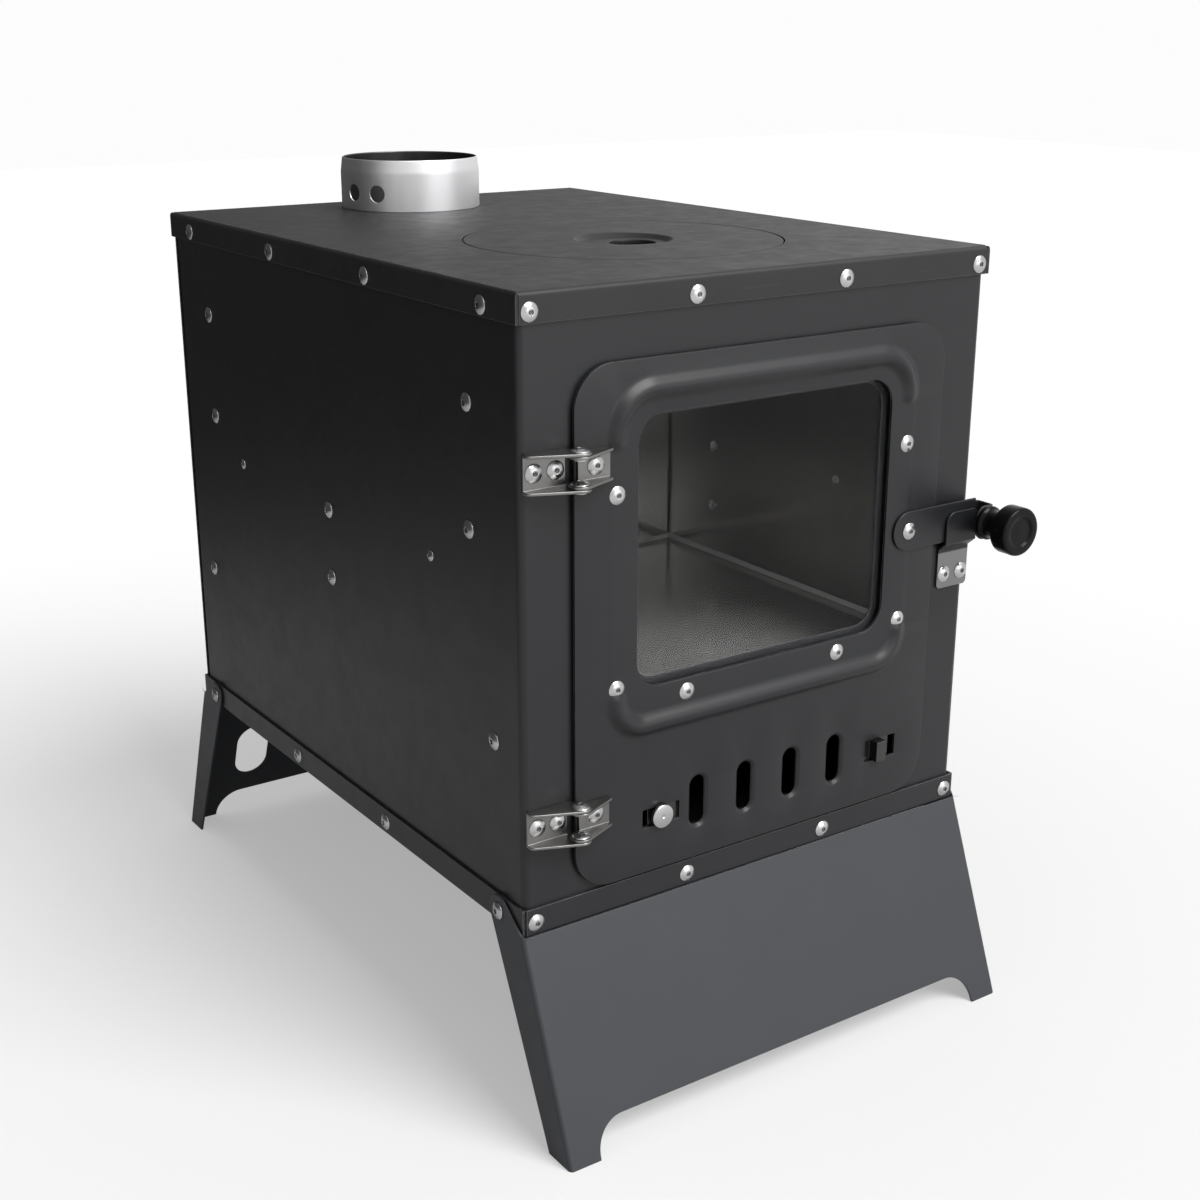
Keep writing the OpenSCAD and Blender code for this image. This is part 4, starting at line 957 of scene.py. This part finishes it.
@dataclass
class Rivets:
    """The domed blind rivets, turned anew with a lip, a hollow and a dark pin.

    Args:
        fixed: The CAD nodes of rivets on the stove.
        hung: Those on the door.
        lip: Height of the head's upright lip.
        mouth: The hollow's radius as a share of the head's.
        depth: The hollow's depth.
        tail: Greatest length of the swelled tail.
        count: Steps round a rivet.
        core_count: Steps round its core.
        sharp: Edges that turn more than this stay sharp, in degrees.
    """

    fixed: tuple[str, ...] = ("cap_rivets", "tray_rivets", "side_rivets", "small_side_rivets", "rear_rivets",
                              "back_liner_rivets", "hinge_rivets", "catch_rivets", "leg_pivots",
                              "hinge_pivots")
    hung: tuple[str, ...] = ("door_rivets", "door_hinge_rivets", "latch_pivot")
    lip: float = 0.35
    mouth: float = 0.29
    depth: float = 0.75
    tail: float = 1.1
    count: int = 28
    core_count: int = 16
    sharp: float = 40.0
    HEAD_SHARE = 0.98

    def build(self, frame: Frame, palette: Palette) -> None:
        """Turn the rivets of every node.

        Args:
            frame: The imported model.
            palette: The materials.
        """
        for name in self.fixed + self.hung:
            shells, cores = zip(*(self.rivet(points) for points in solids(frame["nodes"][name])))
            for end, parts, kind, stands in (("_shells", shells, Kind.RIVET, (name,)),
                                             ("_cores", cores, Kind.PIN, ())):
                piece = make_piece(name + end, *joined(parts), palette[kind], self.sharp)
                mount(piece, Body.STOVE if name in self.fixed else Body.DOOR, kind.slot, *stands)

    def rivet(self, points: np.ndarray) -> tuple[tuple[np.ndarray, list], tuple[np.ndarray, list]]:
        """Turn one rivet's shell and core in place of a solid.

        Its axis is the direction in which its box differs from the other two, and its head is at the end
        where its widest points lie. The dome is an arc of the ball through the lip and the top.

        Args:
            points: The solid's points.

        Returns:
            Points and faces of the shell and of the core.
        """
        low, high = points.min(axis=0), points.max(axis=0)
        span, centre = high - low, (low + high) / 2
        odd = int(np.argmax(np.abs(3 * span - span.sum())))
        radius = np.linalg.norm(np.delete(points - centre, odd, axis=1), axis=1)
        head_r = radius.max()
        widest = radius > head_r * self.HEAD_SHARE
        axis = np.eye(3)[odd] * np.sign(points[widest, odd].mean() - centre[odd])
        origin = centre - axis * span[odd] / 2
        height = (points - origin) @ axis
        length = span[odd]
        base = height[widest].min()
        below = height < base - 0.05
        tail_r = radius[below].max()
        shank_r = min(tail_r, radius[below & (height > base * 0.4)].max(initial=tail_r))
        edge_r, rise = head_r * 0.985, length - base - self.lip
        ball = (edge_r ** 2 + rise ** 2) / (2 * rise)
        mouth_r = head_r * self.mouth
        turn = np.linspace(math.asin(edge_r / ball), math.asin(mouth_r * 1.12 / ball), 9)
        dome = np.stack([ball * np.sin(turn), length - ball + ball * np.cos(turn)], axis=-1)
        tail_h = min(self.tail, base / 3)
        shell = np.concatenate([
            [[0, 0], [tail_r * 0.8, 0], [tail_r, tail_h * 0.25], [tail_r, tail_h * 0.5], [shank_r, tail_h],
             [shank_r, base], [head_r * 0.97, base], [head_r, base + 0.1], [head_r, base + self.lip * 0.7]],
            dome, [[mouth_r * 1.03, dome[-1, 1] - 0.06], [mouth_r, dome[-1, 1] - 0.2],
                   [mouth_r * 0.98, length - self.depth], [0, length - self.depth]]])
        core_r, top, bottom = mouth_r * 0.8, length - self.depth * 0.45, length - self.depth - 0.2
        core = np.array([[0, bottom], [core_r, bottom], [core_r, top - 0.15], [core_r * 0.8, top],
                         [core_r * 0.45, top - 0.08], [0, top - 0.12]])
        spindle = Spindle(origin, axis)
        return spindle.turn(shell, self.count), spindle.turn(core, self.core_count)


@dataclass
class Knob:
    """The latch's turned knob.

    Args:
        centre: Its axis, across and up.
        back: Where it starts, front to back.
        length: How long it is.
        grip_r: Radius of its grip.
        grip_start: Where the grip starts along its length.
        roll: Radius of the grip's rolled edges.
        count: Steps round the knob.
    """

    centre: Pair = (147.0, 284.5)
    back: float = -217.8
    length: float = 25.0
    grip_r: float = 13.5
    grip_start: float = 14.0
    roll: float = 1.5
    count: int = 72

    def build(self, palette: Palette) -> None:
        """Turn the knob: a base, a waist, and a grip with rolled edges and a dished face.

        Args:
            palette: The materials.
        """
        turn = np.linspace(-np.pi / 2, np.pi / 2, 9)
        ring = np.stack([self.grip_r - self.roll + self.roll * np.cos(turn), self.roll * np.sin(turn)],
                        axis=-1)
        edge_low = ring[:5] + [0, self.grip_start + self.roll]
        edge_high = ring[4:] + [0, self.length - self.roll]
        end = self.length
        profile = np.concatenate([
            [[0, 0], [9.2, 0], [9.45, 0.25], [9.45, 2.2], [9.2, 2.5], [8.2, 3.2], [7.7, 4.4], [7.55, 6.5],
             [7.6, 9.0], [8.1, 11.2], [9.4, 12.9], [11.0, 13.8]],
            edge_low, edge_high,
            [[9.2, end], [8.7, end - 0.12], [8.3, end - 0.5], [8.1, end - 1.0], [7.7, end - 1.22],
             [6.5, end - 1.25], [3.0, end - 1.1], [0, end - 1.05]]])
        spindle = Spindle.forward(self.centre, self.back)
        piece = make_piece("turned_knob", *spindle.turn(profile, self.count), palette[Kind.KNOB])
        mount(piece, Body.LATCH, Kind.KNOB.slot, "latch_knob")


@dataclass
class Button:
    """The flat disc that moves the air slider.

    Args:
        centre: Its axis, across and up.
        front: Its face.
        head: Thickness of the disc.
        radius: Its radius.
        count: Steps round the button.
    """

    centre: Pair = (-66.8, 158.5)
    front: float = -207.6
    head: float = 2.5
    radius: float = 6.5
    count: int = 56

    def build(self, frame: Frame, palette: Palette) -> None:
        """Turn the disc with a rounded edge and a centre mark.

        Args:
            frame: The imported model.
            palette: The materials.
        """
        points = node_points(frame["nodes"]["slider_button"])
        radius = np.hypot(points[:, 0] - self.centre[0], points[:, 2] - self.centre[1])
        back = points[:, 1].max()
        length, under = back - self.front, back - self.front - self.head
        behind = radius[(points[:, 1] > self.front + self.head + 0.1) & (radius > 0.5)]
        stem_r, tail_r = behind.min(), behind.max()
        profile = np.array([[0, 0], [tail_r - 0.1, 0], [tail_r, 0.1], [tail_r, 0.6], [stem_r, 1.1],
                            [stem_r, under], [self.radius - 0.3, under], [self.radius, under + 0.3],
                            [self.radius, length - 0.6], [self.radius - 0.15, length - 0.25],
                            [self.radius - 0.6, length], [1.0, length], [0.85, length - 0.25],
                            [0.5, length - 0.4], [0, length - 0.4]])
        spindle = Spindle.forward(self.centre, back)
        piece = make_piece("turned_button", *spindle.turn(profile, self.count), palette[Kind.RIVET])
        mount(piece, Body.SLIDER, Kind.RIVET.slot, "slider_button")


@dataclass(frozen=True)
class Studio:
    """The camera, the lamps, the floor and the pale surroundings.

    Args:
        eye: The camera's place.
        forward: Where it looks.
        right: Its right-hand direction.
        roll: Its roll, in degrees.
        lens: Its focal length.
        sensor: Its sensor's width.
        bright: Direction of the studio's bright side.
        world_side: Where along that direction the mirrored surroundings turn from dim to bright.
        floor_side: Where along it the floor does, for light that doesn't go to the camera.
        white: Brightness of the background.
        dim: Brightness of the dim side.
        dull: Brightness of the surroundings that light dull surfaces.
        floor_half: Half the floor's width.
        floor_tone: The floor's dark and pale base colours, the dark one a painted shade on the studio's dim
            side for light that doesn't go to the camera.
        floor_rough: Its roughness.
        floor_specular: The shader's specular level.
        glow: What the floor adds of its own where it is seen, under the stove and far from it; the lower
            value near the stove is a painted shadow.
        glow_reach: The distances from the middle between which that changes.
        mirror_glow: What it adds where it is mirrored, under the stove, kept low as a painted shadow.
        mirror_reach: The distances for that.
        key: Strength of the key light.
        key_spread: Its angle, in degrees.
        key_from: Direction that it comes from.
        front_from: Where the lamp before the front hangs.
        front_aim: The point that it faces.
        front_size: Its width and height.
        front_power: Its power, in watts.
    """

    eye: Triple = (-560.284, -862.64, 549.65)
    forward: Triple = (0.53970, 0.78010, -0.31630)
    right: Triple = (0.82236, -0.56897, 0.0)
    roll: float = 0.083
    lens: float = 52.37
    sensor: float = 36.0
    bright: Triple = (0.57, -0.82, 0.0)
    world_side: Pair = (-0.66, 0.0)
    floor_side: Pair = (-1300.0, 0.0)
    white: float = 0.98
    dim: float = 0.1
    dull: float = 0.42
    floor_half: float = 6000.0
    floor_tone: Pair = (0.03, 0.4)
    floor_rough: float = 0.9
    floor_specular: float = 0.1
    glow: Pair = (0.37, 0.46)
    glow_reach: Pair = (200.0, 1000.0)
    mirror_glow: float = 0.04
    mirror_reach: Pair = (200.0, 700.0)
    key: float = 3.9
    key_spread: float = 38.0
    key_from: Triple = (0.22, -0.62, 0.75)
    front_from: Triple = (700.0, -2200.0, 620.0)
    front_aim: Triple = (0.0, -150.0, 200.0)
    front_size: Pair = (1800.0, 900.0)
    front_power: float = 8.0
    SEEN = ("Is Camera Ray", "Is Transmission Ray")

    def camera(self) -> None:
        """Place the camera at the photograph's viewing angle."""
        data = bpy.data.cameras.new("camera")
        data.lens = self.lens
        data.sensor_width = self.sensor
        data.clip_start = 10.0 * MM
        camera = placed("camera", data)
        back = -Vector(self.forward).normalized()
        up = back.cross(Vector(self.right)).normalized()
        turn = Matrix((up.cross(back), up, back)).transposed()
        turn = turn @ Matrix.Rotation(math.radians(self.roll), 3, "Z")
        camera.matrix_world = Matrix.Translation(Vector(self.eye) * MM) @ turn.to_4x4()
        bpy.context.scene.camera = camera

    def floor(self) -> None:
        """Lay the pale floor, which shows white to the camera and keeps the shadow, with a painted shadow
        that deepens it near the stove.
        """
        half = self.floor_half * MM
        mesh = bpy.data.meshes.new("floor")
        mesh.from_pydata([(-half, -half, 0), (half, -half, 0), (half, half, 0), (-half, half, 0)], [],
                         [(0, 1, 2, 3)])
        floor = placed("floor", mesh)
        material, tree, shader = new_material("pale_floor")
        lit = self.side_share(tree, "Object", scaled(self.floor_side))
        seen = self.rays(tree, *self.SEEN)
        dark, pale = ((tone,) * 3 for tone in self.floor_tone)
        far = add_node(tree, "VectorMath", {0: place(tree)}, operation="LENGTH").outputs["Value"]
        # Painted shadow: the glow that the camera sees is weaker near the stove.
        shown = combined(tree, "MULTIPLY", seen, ranged(tree, far, scaled(self.glow_reach), self.glow))
        # Painted shadow in reflections: the mirrored glow is low under the stove and rises away from it.
        rising = ranged(tree, far, scaled(self.mirror_reach), (self.mirror_glow, self.glow[1]))
        mirrored = combined(tree, "MULTIPLY", self.rays(tree, "Is Glossy Ray"),
                            combined(tree, "MULTIPLY", lit, rising))
        feed(tree, shader, {"Base Color": mixed(tree, combined(tree, "MAXIMUM", seen, lit), dark, pale),
                            "Roughness": self.floor_rough, "Specular IOR Level": self.floor_specular,
                            "Emission Color": (1.0, 1.0, 1.0, 1.0),
                            "Emission Strength": combined(tree, "MAXIMUM", shown, mirrored)})
        mesh.materials.append(material)

    @staticmethod
    def rays(tree: Tree, *names: str) -> Socket:
        """Return a socket that is 1 for the named kinds of ray.

        Args:
            tree: The node tree.
            names: Outputs of the Light Path node.

        Returns:
            The socket.
        """
        path = add_node(tree, "LightPath", {})
        socket = path.outputs[names[0]]
        for name in names[1:]:
            socket = combined(tree, "MAXIMUM", socket, path.outputs[name])
        return socket

    def side_share(self, tree: Tree, where: str, reach: Pair) -> Socket:
        """Return a socket that rises from 0 on the dim side of the studio to 1 on its bright side.

        Args:
            tree: The node tree.
            where: Output of the Texture Coordinate node, a place or a direction.
            reach: Where along the bright side's direction it starts and ends.

        Returns:
            The socket.
        """
        along = dotted(tree, place(tree, where), Vector(self.bright).normalized())
        share = ranged(tree, along, reach, (0.0, 1.0))
        share.node.interpolation_type = "SMOOTHSTEP"
        return share

    def surroundings(self) -> None:
        """Light from all round: white where it is seen, dimmer on the left where it is mirrored."""
        world = bpy.data.worlds.new("surroundings")
        world.use_nodes = True
        tree = world.node_tree
        side = self.side_share(tree, "Generated", self.world_side)
        lit = ranged(tree, side, (0.0, 1.0), (self.dim, self.white))
        mirrored = add_node(tree, "Mix", {"Factor": self.rays(tree, "Is Glossy Ray"), "A": self.dull,
                                          "B": lit})
        shown = add_node(tree, "Mix", {"Factor": self.rays(tree, *self.SEEN), "A": mirrored.outputs["Result"],
                                       "B": self.white})
        feed(tree, tree.nodes["Background"], {"Color": (1.0, 1.0, 1.0, 1.0),
                                              "Strength": shown.outputs["Result"]})
        bpy.context.scene.world = world

    def light(self) -> None:
        """Hang a broad sun-like key from the front right and a low soft lamp before the front."""
        sun = bpy.data.lights.new("key", "SUN")
        sun.energy = self.key
        sun.angle = math.radians(self.key_spread)
        placed("key", sun).rotation_euler = Vector(self.key_from).to_track_quat("Z", "Y").to_euler()
        soft = bpy.data.lights.new("front", "AREA")
        soft.shape = "RECTANGLE"
        soft.size, soft.size_y = scaled(self.front_size)
        soft.energy = self.front_power
        lamp = placed("front", soft)
        lamp.location = Vector(self.front_from) * MM
        way = Vector(self.front_aim) - Vector(self.front_from)
        lamp.rotation_euler = way.to_track_quat("-Z", "Y").to_euler()


def main() -> None:
    """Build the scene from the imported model."""
    studio = Studio()
    studio.camera()
    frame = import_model()
    bpy.context.scene.view_settings.view_transform = "Standard"
    palette = Palette(MarkGroup())
    SheetWork().build(frame, palette)
    DoorSheet().build(palette)
    Rivets().build(frame, palette)
    Knob().build(palette)
    Button().build(frame, palette)
    studio.floor()
    studio.surroundings()
    studio.light()


if __name__ == "__main__":
    main()
